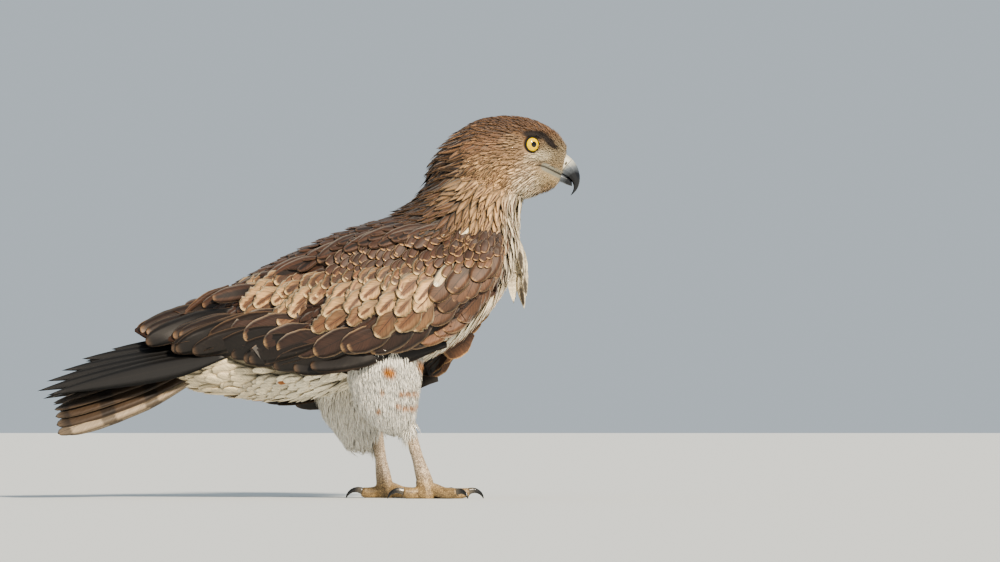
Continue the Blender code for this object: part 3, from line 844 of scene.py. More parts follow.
@dataclass(frozen=True)
class Toe:
    """Where one toe lies: its root under the ankle, its direction and its size."""

    root: np.ndarray
    ahead: np.ndarray
    length: float
    radius: float


def toes() -> list[Toe]:
    """List the eight toes from the feet's CAD nodes."""
    found = []
    turns = {RIGHT: 6.0, LEFT: 16.0}
    forms = ((172, 0.026, 0.0056), (-42, 0.034, 0.0053), (-4, 0.046, 0.0053), (34, 0.037, 0.0048))
    ankles = {RIGHT: 0.1288, LEFT: 0.0825}
    for side in SIDES:
        for heading, length, radius in forms:
            angle = math.radians(turns[side] + side * heading)
            ahead = np.array([math.cos(angle), math.sin(angle), 0])
            found.append(Toe(np.array([ankles[side], side * 0.034, 0.006]), ahead, length, radius))
    return found


# ---------------------------------------------------------------- finishes


@dataclass(frozen=True)
class PlumageKeratin:
    """Feather vane: dull keratin barbs, grown side by side, which scatter light along their rows.

    The barbs show as fine slanting streaks, the shaft as a narrow dark line and the rim of each
    vane in its own colour. Real barbs are 0.4 mm apart and are drawn coarser, so that they show.
    """

    name: str
    roughness: float = 0.62
    barb_pitch: float = 0.9  # millimetres between the drawn streaks
    streak: float = 0.26  # how much darker and lighter the streaks are
    shaft: float = 0.5  # how dark the shaft's line is
    shaft_width: float = 0.06
    bump: float = 0.00012
    sheen: float = 0.12
    bands: float = 0.0  # dark bands along the vane
    root_shade: float = 0.55  # how dark a vane is where others cover it

    def material(self) -> bpy.types.Material:
        """Make the finish.

        Returns:
            The material.
        """
        made, tree, surface = start_material(
            self.name, self.roughness, 1.54, {"Sheen Weight": self.sheen, "Sheen Roughness": 0.5})
        vane = add_node(tree, "ShaderNodeAttribute", {"attribute_name": "vane"})
        parts = add_node(tree, "ShaderNodeSeparateXYZ", links={0: vane.outputs["Vector"]})
        across = self._math(tree, "ABSOLUTE", parts.outputs["X"])
        along, seed = parts.outputs["Y"], parts.outputs["Z"]
        ground = add_node(tree, "ShaderNodeAttribute", {"attribute_name": "ground"})
        fringe = add_node(tree, "ShaderNodeAttribute", {"attribute_name": "fringe"})
        mark = add_node(tree, "ShaderNodeAttribute", {"attribute_name": "mark"})
        form = add_node(tree, "ShaderNodeAttribute", {"attribute_name": "mark_form"})
        sizes = add_node(tree, "ShaderNodeSeparateXYZ", links={0: form.outputs["Vector"]})
        streaks = self._streaks(tree, across, seed)
        inside = self._mark_share(tree, across, along, sizes, streaks)
        colour = self._mix(tree, inside, ground.outputs["Color"], mark.outputs["Color"])
        if self.bands:
            wave = self._math(tree, "SINE", self._math(tree, "MULTIPLY", along, self.bands * math.tau))
            band = self._range(tree, wave, 0.35, 0.75)
            dark = self._mix(tree, 0.62, colour, (0.006, 0.0045, 0.0035, 1))
            colour = self._mix(tree, band, colour, dark)
        rim = self._rim(tree, across, along, fringe.outputs["Alpha"])
        colour = self._mix(tree, rim, colour, fringe.outputs["Color"])
        quill = self._range(tree, across, self.shaft_width, self.shaft_width * 0.4)
        quill = self._math(tree, "MULTIPLY", quill, self.shaft)
        colour = self._mix(tree, quill, colour, (0.012, 0.008, 0.006, 1))
        light = self._range(tree, streaks, 0.32, 0.68, 1 - self.streak, 1 + self.streak)
        shade = self._range(tree, along, 0.10, 0.66, self.root_shade, 1.0)
        light = self._math(tree, "MULTIPLY", light, shade)
        lit = add_node(tree, "ShaderNodeVectorMath", {"operation": "SCALE"},
                       {0: colour, "Scale": light})
        relief = add_node(tree, "ShaderNodeBump", {"Strength": 1.0, "Distance": self.bump},
                          {"Height": streaks})
        tree.links.new(lit.outputs["Vector"], surface.inputs["Base Color"])
        tree.links.new(relief.outputs["Normal"], surface.inputs["Normal"])
        return made

    def _streaks(self, tree: bpy.types.NodeTree, across, seed) -> bpy.types.NodeSocket:
        """Draw the rows of barbs as noise that changes quickly along the shaft only."""
        barb = add_node(tree, "ShaderNodeAttribute", {"attribute_name": "barb"})
        step = self._math(tree, "MULTIPLY", barb.outputs["Fac"], 1 / self.barb_pitch)
        turn = self._math(tree, "MULTIPLY", seed, 97.0)
        place = add_node(tree, "ShaderNodeCombineXYZ", links={0: step, 1: across, 2: turn})
        grain = add_node(tree, "ShaderNodeTexNoise", {"Scale": 1.0, "Detail": 2.0}, {0: place.outputs[0]})
        return grain.outputs["Fac"]

    def _mark_share(self, tree, across, along, sizes, streaks) -> bpy.types.NodeSocket:
        """Cover the middle of the vane by an oval mark with a ragged edge."""
        wide = self._math(tree, "DIVIDE", across, sizes.outputs["X"])
        offset = self._math(tree, "SUBTRACT", along, sizes.outputs["Y"])
        long = self._math(tree, "DIVIDE", offset, sizes.outputs["Z"])
        squares = self._math(tree, "ADD", self._math(tree, "MULTIPLY", wide, wide),
                             self._math(tree, "MULTIPLY", long, long))
        rough = self._math(tree, "ADD", squares, streaks)
        return self._range(tree, rough, 2.15, 0.95)

    def _rim(self, tree, across, along, width) -> bpy.types.NodeSocket:
        """Cover the vane's edge by a fringe of the given share of its half width."""
        start = self._math(tree, "SUBTRACT", 1.0, width)
        edge = self._math(tree, "SUBTRACT", across, start)
        tip_start = self._math(tree, "SUBTRACT", 1.0, self._math(tree, "MULTIPLY", width, 0.5))
        tip = self._math(tree, "MULTIPLY", self._math(tree, "SUBTRACT", along, tip_start), 1.6)
        reach = self._math(tree, "MAXIMUM", edge, tip)
        return self._range(tree, reach, -0.08, 0.12)

    @staticmethod
    def _math(tree, operation: str, first, second=0.0) -> bpy.types.NodeSocket:
        """Join two sockets or numbers by one operation."""
        settings, links = {"operation": operation}, {}
        for slot, value in enumerate((first, second)):
            if isinstance(value, (int, float)):
                settings[slot] = value
            else:
                links[slot] = value
        return add_node(tree, "ShaderNodeMath", settings, links).outputs[0]

    @staticmethod
    def _range(tree, value, low, high, to_low=0.0, to_high=1.0) -> bpy.types.NodeSocket:
        """Map a value smoothly from one range to another."""
        settings = {"interpolation_type": "SMOOTHSTEP", "From Min": low, "From Max": high,
                    "To Min": to_low, "To Max": to_high}
        return add_node(tree, "ShaderNodeMapRange", settings, {"Value": value}).outputs[0]

    @staticmethod
    def _mix(tree, share, first, second) -> bpy.types.NodeSocket:
        """Blend two colours, each a socket or a constant, by a share."""
        settings, links = {"data_type": "RGBA"}, {}
        for slot, value in ((0, share), (6, first), (7, second)):
            if isinstance(value, bpy.types.NodeSocket):
                links[slot] = value
            else:
                settings[slot] = value
        return add_node(tree, "ShaderNodeMix", settings, links).outputs[2]


@dataclass(frozen=True)
class BareSkin:
    """Thin skin under the plumage: soft and dull, in the colour of the feathers over it."""

    roughness: float = 0.7
    shade: float = 0.62

    def material(self) -> bpy.types.Material:
        """Make the finish.

        Returns:
            The material.
        """
        made, tree, surface = start_material("skin_under_plumage", self.roughness, 1.45, {})
        ground = add_node(tree, "ShaderNodeAttribute", {"attribute_name": "ground"})
        grain = add_node(tree, "ShaderNodeTexNoise", {"Scale": 900.0, "Detail": 3.0})
        light = add_node(tree, "ShaderNodeMapRange", {"To Min": self.shade * 0.8, "To Max": self.shade * 1.2},
                         {"Value": grain.outputs["Fac"]})
        lit = add_node(tree, "ShaderNodeVectorMath", {"operation": "SCALE"},
                       {0: ground.outputs["Color"], "Scale": light.outputs[0]})
        relief = add_node(tree, "ShaderNodeBump", {"Strength": 0.6, "Distance": 0.0003},
                          {"Height": grain.outputs["Fac"]})
        tree.links.new(lit.outputs["Vector"], surface.inputs["Base Color"])
        tree.links.new(relief.outputs["Normal"], surface.inputs["Normal"])
        return made


@dataclass(frozen=True)
class ScaledSkin:
    """Horny leg skin: small net-like scales, dull with a waxy edge, darker in the joints."""

    roughness: float = 0.48
    scale_pitch: float = 0.0022
    pale: str = "cbb9a2"
    ochre: str = "a98f66"
    joint: str = "5f4c3a"

    def material(self) -> bpy.types.Material:
        """Make the finish.

        Returns:
            The material.
        """
        made, tree, surface = start_material("scaled_leg_skin", self.roughness, 1.5, {})
        place = add_node(tree, "ShaderNodeTexCoord")
        cells = add_node(tree, "ShaderNodeTexVoronoi",
                         {"feature": "DISTANCE_TO_EDGE", "Scale": 1 / self.scale_pitch},
                         {"Vector": place.outputs["Object"]})
        tint = add_node(tree, "ShaderNodeTexVoronoi", {"Scale": 1 / self.scale_pitch},
                        {"Vector": place.outputs["Object"]})
        spots = add_node(tree, "ShaderNodeTexNoise", {"Scale": 120.0, "Detail": 4.0},
                         {"Vector": place.outputs["Object"]})
        height = add_node(tree, "ShaderNodeSeparateXYZ", links={0: place.outputs["Object"]})
        toe = add_node(tree, "ShaderNodeMapRange", {"From Min": 0.030, "From Max": 0.012},
                       {"Value": height.outputs["Z"]})
        hue = add_node(tree, "ShaderNodeMix", {"data_type": "RGBA", 6: (*linear(self.pale), 1),
                                               7: (*linear(self.ochre), 1)}, {0: toe.outputs[0]})
        dark = add_node(tree, "ShaderNodeMapRange", {"From Min": 0.0, "From Max": 0.14,
                                                     "To Min": 1.0, "To Max": 0.0},
                        {"Value": cells.outputs["Distance"]})
        net = add_node(tree, "ShaderNodeMix", {"data_type": "RGBA", 7: (*linear(self.joint), 1)},
                       {0: dark.outputs[0], 6: hue.outputs[2]})
        worn = add_node(tree, "ShaderNodeMapRange", {"From Min": 0.3, "From Max": 0.7, "To Min": 0.72,
                                                     "To Max": 1.15}, {"Value": spots.outputs["Fac"]})
        cell = add_node(tree, "ShaderNodeSeparateColor", links={0: tint.outputs["Color"]})
        vary = add_node(tree, "ShaderNodeMapRange", {"To Min": 0.85, "To Max": 1.15},
                        {"Value": cell.outputs[0]})
        light = add_node(tree, "ShaderNodeMath", {"operation": "MULTIPLY"},
                         {0: worn.outputs[0], 1: vary.outputs[0]})
        lit = add_node(tree, "ShaderNodeVectorMath", {"operation": "SCALE"},
                       {0: net.outputs[2], "Scale": light.outputs[0]})
        relief = add_node(tree, "ShaderNodeBump", {"Strength": 0.7, "Distance": 0.0003},
                          {"Height": cells.outputs["Distance"]})
        tree.links.new(lit.outputs["Vector"], surface.inputs["Base Color"])
        tree.links.new(relief.outputs["Normal"], surface.inputs["Normal"])
        return made


@dataclass(frozen=True)
class Horn:
    """Grown keratin horn, worn smooth: translucent grey at its base and near black at its tip."""

    name: str
    base: str
    middle: str
    tip: str
    roughness: float = 0.3

    def material(self) -> bpy.types.Material:
        """Make the finish.

        Returns:
            The material.
        """
        made, tree, surface = start_material(self.name, self.roughness, 1.54, {"Coat Weight": 0.25,
                                                                               "Coat Roughness": 0.2})
        reach = add_node(tree, "ShaderNodeAttribute", {"attribute_name": "reach"})
        place = add_node(tree, "ShaderNodeTexCoord")
        # Growth streaks 0.5 mm apart run along the horn, and drift its colour a little.
        grain = add_node(tree, "ShaderNodeTexNoise", {"Scale": 420.0, "Detail": 5.0, "Roughness": 0.6},
                         {"Vector": place.outputs["Object"]})
        drift = add_node(tree, "ShaderNodeMapRange", {"To Min": -0.12, "To Max": 0.12},
                         {"Value": grain.outputs["Fac"]})
        share = add_node(tree, "ShaderNodeMath", {"operation": "ADD"},
                         {0: reach.outputs["Fac"], 1: drift.outputs[0]})
        ramp = add_node(tree, "ShaderNodeValToRGB", links={0: share.outputs[0]})
        stops = ramp.color_ramp.elements
        stops[0].position, stops[0].color = 0.15, (*linear(self.base), 1)
        stops[1].position, stops[1].color = 0.85, (*linear(self.tip), 1)
        stops.new(0.5).color = (*linear(self.middle), 1)
        relief = add_node(tree, "ShaderNodeBump", {"Strength": 0.35, "Distance": 0.00015},
                          {"Height": grain.outputs["Fac"]})
        # By the pit share the colour goes near black inside the nostrils: painted shade in their openings.
        dark = add_node(tree, "ShaderNodeAttribute", {"attribute_name": "pit"})
        pit = add_node(tree, "ShaderNodeMix", {"data_type": "RGBA", 7: (0.006, 0.005, 0.005, 1)},
                       {0: dark.outputs["Fac"], 6: ramp.outputs["Color"]})
        tree.links.new(pit.outputs[2], surface.inputs["Base Color"])
        tree.links.new(relief.outputs["Normal"], surface.inputs["Normal"])
        return made


@dataclass(frozen=True)
class WetIris:
    """A living eye: a fibrous yellow iris round a black pupil, under a wet clear cornea."""

    pupil: float = 3.2  # radius in millimetres
    iris: float = 7.5
    yellow: str = "f7dc12"
    amber: str = "e2a608"

    def material(self) -> bpy.types.Material:
        """Make the finish.

        Returns:
            The material.
        """
        made, tree, surface = start_material("wet_iris", 0.12, 1.376, {"Coat Weight": 1.0,
                                                                      "Coat Roughness": 0.015})
        ring = add_node(tree, "ShaderNodeAttribute", {"attribute_name": "ring"})
        spoke = add_node(tree, "ShaderNodeAttribute", {"attribute_name": "spoke"})
        fibres = add_node(tree, "ShaderNodeTexNoise", {"Scale": 9.0, "Detail": 5.0},
                          {"Vector": spoke.outputs["Vector"]})
        warm = add_node(tree, "ShaderNodeMapRange", {"From Min": 0.38, "From Max": 0.68},
                        {"Value": fibres.outputs["Fac"]})
        iris = add_node(tree, "ShaderNodeMix", {"data_type": "RGBA", 6: (*linear(self.yellow), 1),
                                                7: (*linear(self.amber), 1)}, {0: warm.outputs[0]})
        inner = add_node(tree, "ShaderNodeMapRange", {"From Min": self.pupil - 0.12,
                                                      "From Max": self.pupil + 0.12},
                         {"Value": ring.outputs["Fac"]})
        seen = add_node(tree, "ShaderNodeMix", {"data_type": "RGBA", 6: (0.002, 0.002, 0.002, 1)},
                        {0: inner.outputs[0], 7: iris.outputs[2]})
        outer = add_node(tree, "ShaderNodeMapRange", {"From Min": self.iris - 0.35,
                                                      "From Max": self.iris + 0.1},
                         {"Value": ring.outputs["Fac"]})
        whole = add_node(tree, "ShaderNodeMix", {"data_type": "RGBA", 7: (0.010, 0.007, 0.005, 1)},
                         {0: outer.outputs[0], 6: seen.outputs[2]})
        tree.links.new(whole.outputs[2], surface.inputs["Base Color"])
        return made


# ---------------------------------------------------------------- feathers


class Tip(Enum):
    """How a feather ends."""

    ROUND = "round"
    POINTED = "pointed"
    BLADE = "blade"


@dataclass(frozen=True)
class FeatherForm:
    """The form of one kind of feather, in metres."""

    length: float
    width: float
    tip: Tip = Tip.ROUND
    rings: int = 6
    across: int = 3
    camber: float = 0.20  # how far the edges drop, as a share of the half width
    ragged: float = 0.0  # how deep the edge is frayed, as a share of the half width
    stand: float = 0.0  # degrees that the tip stands off the body
    turn: float = 6.0  # degrees of scatter in its direction
    vary: float = 0.12  # scatter of its length

    def stops(self) -> np.ndarray:
        """The shares of the length at which the vane has a ring of points, root to tip."""
        power = 1.5 if self.tip is Tip.ROUND else 1.15
        return 1 - (1 - np.linspace(0, 1, self.rings + 1)) ** power

    def outline(self, v: np.ndarray) -> np.ndarray:
        """The half width along the vane as a share of its largest.

        Args:
            v: shares of the length.

        Returns:
            The shares of the half width, 0 at the tip.
        """
        widest = {Tip.ROUND: 0.60, Tip.POINTED: 0.42, Tip.BLADE: 0.30}[self.tip]
        rise = 0.16 + 0.84 * ease(v, -0.08, 0.8 * widest)
        t = np.clip((v - widest) / (1 - widest), 0, 1)
        fall = {Tip.ROUND: np.sqrt(1 - t ** 2.2), Tip.POINTED: 1 - t ** 1.5, Tip.BLADE: 1 - t ** 1.15}
        return rise * fall[self.tip]

    def triangles(self) -> int:
        """How many triangles one such feather has."""
        return 2 * self.across * (self.rings - 1) + self.across + self.across - 2


@dataclass
class Tints:
    """The colours of some feathers: their ground, fringe and mark, one row a feather."""

    ground: np.ndarray
    fringe: np.ndarray
    fringe_width: np.ndarray
    mark: np.ndarray
    mark_form: np.ndarray  # half width, place along the vane and half length

    @classmethod
    def plain(cls, ground: np.ndarray) -> "Tints":
        """Make tints with no fringe and no mark from ground colours."""
        count = len(ground)
        flat = ground if ground.ndim == 2 else ground[:, -1]
        return cls(ground, flat, np.full(count, -0.2), flat, np.tile((0.02, -3.0, 0.02), (count, 1)))


class Coat:
    """Many feathers gathered into one mesh, each a closed vane with a cambered upper side."""

    def __init__(self, name: str, finish: PlumageKeratin, slot: str) -> None:
        """Start an empty coat piece.

        Args:
            name: the piece's name.
            finish: what its vanes are made of.
            slot: kept on the piece but not used.
        """
        self.name, self.finish, self.slot = name, finish, slot
        self.points, self.quads, self.triangles, self.caps = [], [], [], []
        self.values = {"vane": [], "barb": [], "ground": [], "fringe": [], "mark": [], "mark_form": []}
        self.patches, self.flat_quads, self.count = [], [], 0
        self.dice = np.random.default_rng(sum(map(ord, name)))

    def add(self, form: FeatherForm, ribs: np.ndarray, ups: np.ndarray, widths: np.ndarray,
            tints: Tints, places: np.ndarray) -> None:
        """Add feathers of one form.

        Args:
            form: their form.
            ribs: the points along each midrib, root to tip.
            ups: the directions that their upper sides face at those points.
            widths: each one's largest width.
            tints: their colours.
            places: each root's place on the unwrapped skin.
        """
        n, rings, m = len(ribs), form.rings, form.across
        stops = form.stops()
        along = unit(np.gradient(ribs, axis=1))
        ups = unit(ups - (ups * along).sum(-1, keepdims=True) * along)
        across = np.cross(ups, along)
        roll = self.dice.normal(0, 0.07, (n, 1, 1))
        across, ups = unit(across + roll * ups), unit(ups - roll * across)
        half = widths[:, None] / 2 * form.outline(stops)
        fray = form.ragged * ease(stops, 0.35, 0.75)
        halves = [half * (1 - fray * self.dice.random((n, rings + 1))) for _ in (0, 1)]
        us = np.linspace(-1, 1, m)
        grid = np.empty((n, rings, m, 3))
        for j, u in enumerate(us):
            out = (halves[0] if u < 0 else halves[1])[:, :rings, None]
            grid[:, :, j] = ribs[:, :rings] + across[:, :rings] * out * u
            grid[:, :, j] -= ups[:, :rings] * out * form.camber * u * u
        each = rings * m + 1
        points = np.concatenate([grid.reshape(n, rings * m, 3), ribs[:, rings:]], axis=1)
        seeds = self.dice.random(n)
        lengths = np.linalg.norm(np.diff(ribs, axis=1), axis=2).sum(axis=1)
        vane = np.zeros((n, each, 3))
        vane[:, :-1, 0] = np.tile(us, rings)
        vane[:, :-1, 1] = np.repeat(stops[:rings], m)
        vane[:, -1, 1] = 1
        vane[:, :, 2] = seeds[:, None]
        slant = np.abs(vane[..., 0]) * widths[:, None] / 2
        barb = (vane[..., 1] * lengths[:, None] - slant) / MM
        shade = 1 + 0.22 * (seeds - 0.5)[:, None, None]
        ground = tints.ground
        if ground.ndim == 2:
            ground = np.repeat(ground[:, None], rings + 1, axis=1)
        ground = np.concatenate([np.repeat(ground[:, :rings], m, axis=1), ground[:, rings:]], axis=1)
        fringe = np.concatenate([tints.fringe, tints.fringe_width[:, None]], axis=1)
        self._store("ground", ground * shade, 3)
        self._store("fringe", np.repeat(fringe[:, None], each, axis=1), 4)
        self._store("mark", np.repeat(tints.mark[:, None], each, axis=1), 3)
        self._store("mark_form", np.repeat(tints.mark_form[:, None], each, axis=1), 3)
        self._store("vane", vane, 3)
        self._store("barb", barb, 1)
        reach = PATCH / 2
        spread = np.stack([vane[..., 0] * reach, (vane[..., 1] - 0.5) * 2 * reach], axis=-1)
        self.patches.append((np.clip(places, reach, 1 - reach)[:, None] + spread).reshape(-1, 2))
        self.points.append(points.reshape(-1, 3))
        starts = self.count + each * np.arange(n)[:, None, None]
        for store, faces in zip((self.quads, self.flat_quads, self.triangles, self.caps),
                                vane_faces(rings, m)):
            store.append((starts + faces[None]).reshape(-1, faces.shape[1]))
        self.count += each * n

    def _store(self, name: str, values: np.ndarray, size: int) -> None:
        """Keep one attribute's values, a row a point."""
        self.values[name].append(values.reshape(-1, size))

    def build(self) -> bpy.types.Object:
        """Make the coat's mesh and dress it.

        Returns:
            The object.
        """
        quads, flat = np.concatenate(self.quads), np.concatenate(self.flat_quads)
        groups = [quads, flat, np.concatenate(self.triangles)]
        by_corners = {}
        for caps in self.caps:
            by_corners.setdefault(caps.shape[1], []).append(caps)
        groups += [np.concatenate(caps) for caps in by_corners.values()]
        made = new_object(self.name, np.concatenate(self.points), groups)
        mesh = made.data
        smooth = np.ones(len(mesh.polygons), bool)
        smooth[len(quads):len(quads) + len(flat)] = False
        smooth[len(quads) + len(flat) + len(groups[2]):] = False
        mesh.polygons.foreach_set("use_smooth", smooth)
        for name in ("ground", "fringe", "mark"):
            set_colours(mesh, name, np.concatenate(self.values[name]))
        for name in ("vane", "mark_form"):
            store = mesh.attributes.new(name, "FLOAT_VECTOR", "POINT").data
            store.foreach_set("vector", np.concatenate(self.values[name]).ravel())
        store = mesh.attributes.new("barb", "FLOAT", "POINT").data
        store.foreach_set("value", np.concatenate(self.values["barb"]).ravel())
        corners = np.empty(len(mesh.loops), int)
        mesh.loops.foreach_get("vertex_index", corners)
        chart = mesh.uv_layers.new(name="OFBake")
        chart.uv.foreach_set("vector", np.concatenate(self.patches)[corners].ravel())
        mesh.materials.append(self.finish.material())
        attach(made, "root")
        return made


PATCH = 0.003  # the size of one feather on its coat's unwrap


def vane_faces(rings: int, across: int) -> tuple[np.ndarray, ...]:
    """List the faces of one vane.

    Args:
        rings: rings of points before the tip.
        across: points in a ring.

    Returns:
        The upper quads, the under quads, the triangles at the tip and the cap at the root.
    """
    upper, under, tip = [], [], []
    for k in range(rings - 1):
        a, b = k * across, (k + 1) * across
        upper += [(a + j, b + j, b + j + 1, a + j + 1) for j in range(across - 1)]
        under.append((a + across - 1, b + across - 1, b, a))
    last, end = (rings - 1) * across, rings * across
    tip += [(last + j, end, last + j + 1) for j in range(across - 1)]
    tip.append((last + across - 1, end, last))
    return np.array(upper), np.array(under), np.array(tip), np.array([range(across)])


# ---------------------------------------------------------------- body plumage


class Area(Enum):
    """The stretches of body plumage that differ in form or marking."""

    CAP = "cap"
    LORES = "lores"
    CHEEK = "cheek"
    CHIN = "chin"
    NAPE = "nape"
    COLLAR = "collar"
    THROAT = "throat"
    MANTLE = "mantle"
    BACK = "back"
    BREAST = "breast"
    BELLY = "belly"
    UNDERTAIL = "undertail"
    PLUME = "plume"
    THIGH = "thigh"
    WING = "wing"


def areas_at(points: np.ndarray, normals: np.ndarray, kinds: np.ndarray) -> np.ndarray:
    """Tell which stretch of plumage covers each place of the skin.

    Args:
        points: places in metres.
        normals: outward directions there.
        kinds: the kind of part at each.

    Returns:
        An Area for each place, or None where the skin is bare.
    """
    x, z = points[:, 0], points[:, 2]
    found = np.full(len(points), None, object)
    head, neck, trunk = kinds == "head", kinds == "neck", kinds == "trunk"
    found[head] = Area.CHEEK
    found[head & (z > np.interp(x, (0.14, 0.20, 0.25, 0.28), (0.384, 0.398, 0.401, 0.397)))] = Area.CAP
    found[head & (x > 0.251) & (z < 0.402)] = Area.LORES
    found[head & (z < np.interp(x, (0.225, 0.275), (0.330, 0.350)))] = Area.CHIN
    found[head & (x < 0.182) & (z > 0.352)] = Area.NAPE
    found[neck] = Area.COLLAR
    found[neck & (x < np.interp(z, (0.30, 0.34, 0.38), (0.138, 0.152, 0.166)))] = Area.NAPE
    found[neck & (x > np.interp(z, (0.24, 0.31, 0.35), (0.196, 0.214, 0.226)))] = Area.THROAT
    back = z > np.interp(x, (-0.17, 0.0, 0.1), (0.168, 0.230, 0.292))
    back |= (normals[:, 2] > 0.2) & (x < 0.13)
    found[trunk] = np.where(x[trunk] > 0.10, Area.BREAST, Area.BELLY)
    found[trunk & (x < -0.045)] = Area.UNDERTAIL
    found[trunk & back] = np.where(x[trunk & back] > 0.02, Area.MANTLE, Area.BACK)
    found[(kinds == "breast_plume") & (z > 0.246)] = Area.PLUME
    found[kinds == "thigh"] = Area.THIGH
    found[kinds == "wing"] = Area.WING
    share = wing_share(points, normals)
    found[(trunk | (kinds == "wing")) & (share > -0.02) & (share < 0.99)] = Area.WING
    found[(found == Area.WING) & ((share > 0.86) | (x < -0.100))] = None
    found[(share > 0.86) & (share < 1.01)] = None
    xs, top, bottom = wing_edges(RIGHT)
    notch = trunk & (x < 0.02) & (z > np.interp(x, xs, bottom) - 0.006) & (z < np.interp(x, xs, top))
    found[notch & (np.abs(points[:, 1]) > 0.012) & (normals[:, 2] < 0.2) & (found != Area.WING)] = None
    return found


@dataclass(frozen=True)
class Plot:
    """How one area of the body is feathered."""

    form: FeatherForm
    spacing: float
    fringe: str = ""
    fringe_width: float = 0.0
    mark: str = ""
    mark_form: tuple[float, float, float] = (0.02, -3.0, 0.02)
    marked: float = 1.0  # share of the feathers that carry the mark
    stiff: float = 0.0  # how straight they keep where the body curves away
    cover: float = 1.0  # height of the tips as a share of the coat's depth


PLUME_LIE = 277.0
PLOTS = {
    Area.CAP: Plot(FeatherForm(0.0100, 0.0042, Tip.POINTED, 5, stand=3), 0.0024,
                   "b08a64", 0.22, "3c2617", (0.42, 0.60, 0.55), 0.9, 0.2),
    Area.LORES: Plot(FeatherForm(0.0062, 0.0008, Tip.BLADE, 3, stand=13, turn=15), 0.00105),
    Area.CHEEK: Plot(FeatherForm(0.0115, 0.0040, Tip.POINTED, 6, stand=2), 0.0025,
                     "c9a67c", 0.16, "5e3f28", (0.30, 0.75, 0.50), 0.7, 0.35),
    Area.CHIN: Plot(FeatherForm(0.0088, 0.0016, Tip.BLADE, 4, stand=12, turn=12), 0.0015,
                    mark="4a3524", mark_form=(0.6, 0.9, 0.6), marked=0.3, stiff=0.4),
    Area.NAPE: Plot(FeatherForm(0.0300, 0.0084, Tip.POINTED, 8, ragged=0.15, stand=4, turn=9), 0.0046,
                    Hue.NAPE_TIP, 0.18, "2c1c12", (0.42, 0.60, 0.50), 0.9, 0.75),
    Area.COLLAR: Plot(FeatherForm(0.0260, 0.0084, Tip.POINTED, 8, ragged=0.2, stand=2, turn=7), 0.0047,
                      "d6b487", 0.16, "4f321c", (0.28, 0.80, 0.50), 0.5, 0.3),
    Area.THROAT: Plot(FeatherForm(0.0250, 0.0080, Tip.POINTED, 8, ragged=0.2, stand=2, turn=6), 0.0052,
                      "f5ead0", 0.18, "472a15", (0.46, 0.74, 0.60), 0.50, 0.1),
    Area.MANTLE: Plot(FeatherForm(0.0360, 0.0150, Tip.ROUND, 8, 5, ragged=0.08, stand=1), 0.0066,
                      Hue.MANTLE_TIP, 0.10, "20140d", (0.30, 0.60, 0.60), 0.7, 0.3),
    Area.BACK: Plot(FeatherForm(0.0400, 0.0170, Tip.ROUND, 8, 5, ragged=0.08), 0.0072,
                    Hue.MANTLE_TIP, 0.08, "20140d", (0.30, 0.60, 0.60), 0.6, 0.3),
    Area.BREAST: Plot(FeatherForm(0.0260, 0.0100, Tip.POINTED, 7, 5, ragged=0.18, stand=1), 0.0050,
                      "f6ecd4", 0.14, Hue.RUFOUS, (0.55, 0.80, 0.20), 0.42, 0.1),
    Area.BELLY: Plot(FeatherForm(0.0280, 0.0120, Tip.ROUND, 7, 5, ragged=0.25, stand=1), 0.0056,
                     "f8f0dc", 0.12, Hue.RUFOUS, (0.55, 0.80, 0.16), 0.03, 0.1),
    Area.UNDERTAIL: Plot(FeatherForm(0.0400, 0.0150, Tip.ROUND, 8, 5, ragged=0.2), 0.0066,
                         "eadbbd", 0.10, stiff=0.5),
    Area.PLUME: Plot(FeatherForm(0.0340, 0.0090, Tip.POINTED, 9, 5, ragged=0.10, stand=0, turn=2), 0.0048,
                     "f4ead2", 0.22, "3d3427", (0.70, 0.85, 0.55), 0.8, 1.0),
    Area.THIGH: Plot(FeatherForm(0.0170, 0.0017, Tip.BLADE, 4, stand=3, turn=8), 0.00132, stiff=0.35),
    Area.WING: Plot(FeatherForm(0.0240, 0.0130, Tip.ROUND, 6), 0.0080, Hue.SCAPULAR_EDGE, 0.08,
                    cover=0.25),
}


def thinned_out(points: np.ndarray, gap: float) -> np.ndarray:
    """Choose points that keep a gap from each other.

    Args:
        points: places to choose from.
        gap: the least distance.

    Returns:
        Which points are kept.
    """
    tree = KDTree(len(points))
    for i, point in enumerate(points):
        tree.insert(point, i)
    tree.balance()
    kept = np.ones(len(points), bool)
    for i, point in enumerate(points):
        if kept[i]:
            for _, other, _ in tree.find_range(point, gap):
                if other > i:
                    kept[other] = False
    return kept


def unwrapped(points: np.ndarray, axis: int) -> np.ndarray:
    """Unroll a part of the skin round its own centreline.

    Args:
        points: places on the part.
        axis: 0 where its centreline runs along x, 2 where it runs along z.

    Returns:
        Each place's turn round the line and distance along it, both from 0 to 1.
    """
    along = points[:, axis]
    others = [i for i in (0, 1, 2) if i != axis]
    low, high = along.min(), along.max() + 1e-9
    share = (along - low) / (high - low)
    levels = np.linspace(0, 1, 9)
    near = np.abs(share[None] - levels[:, None]) < 0.15
    middle = [np.array([points[n, o].mean() if n.any() else points[:, o].mean() for n in near])
              for o in others]
    gap = [points[:, o] - np.interp(share, levels, m) for o, m in zip(others, middle)]
    return np.stack([np.arctan2(gap[0], gap[1]) / math.tau + 0.5, share], axis=1)


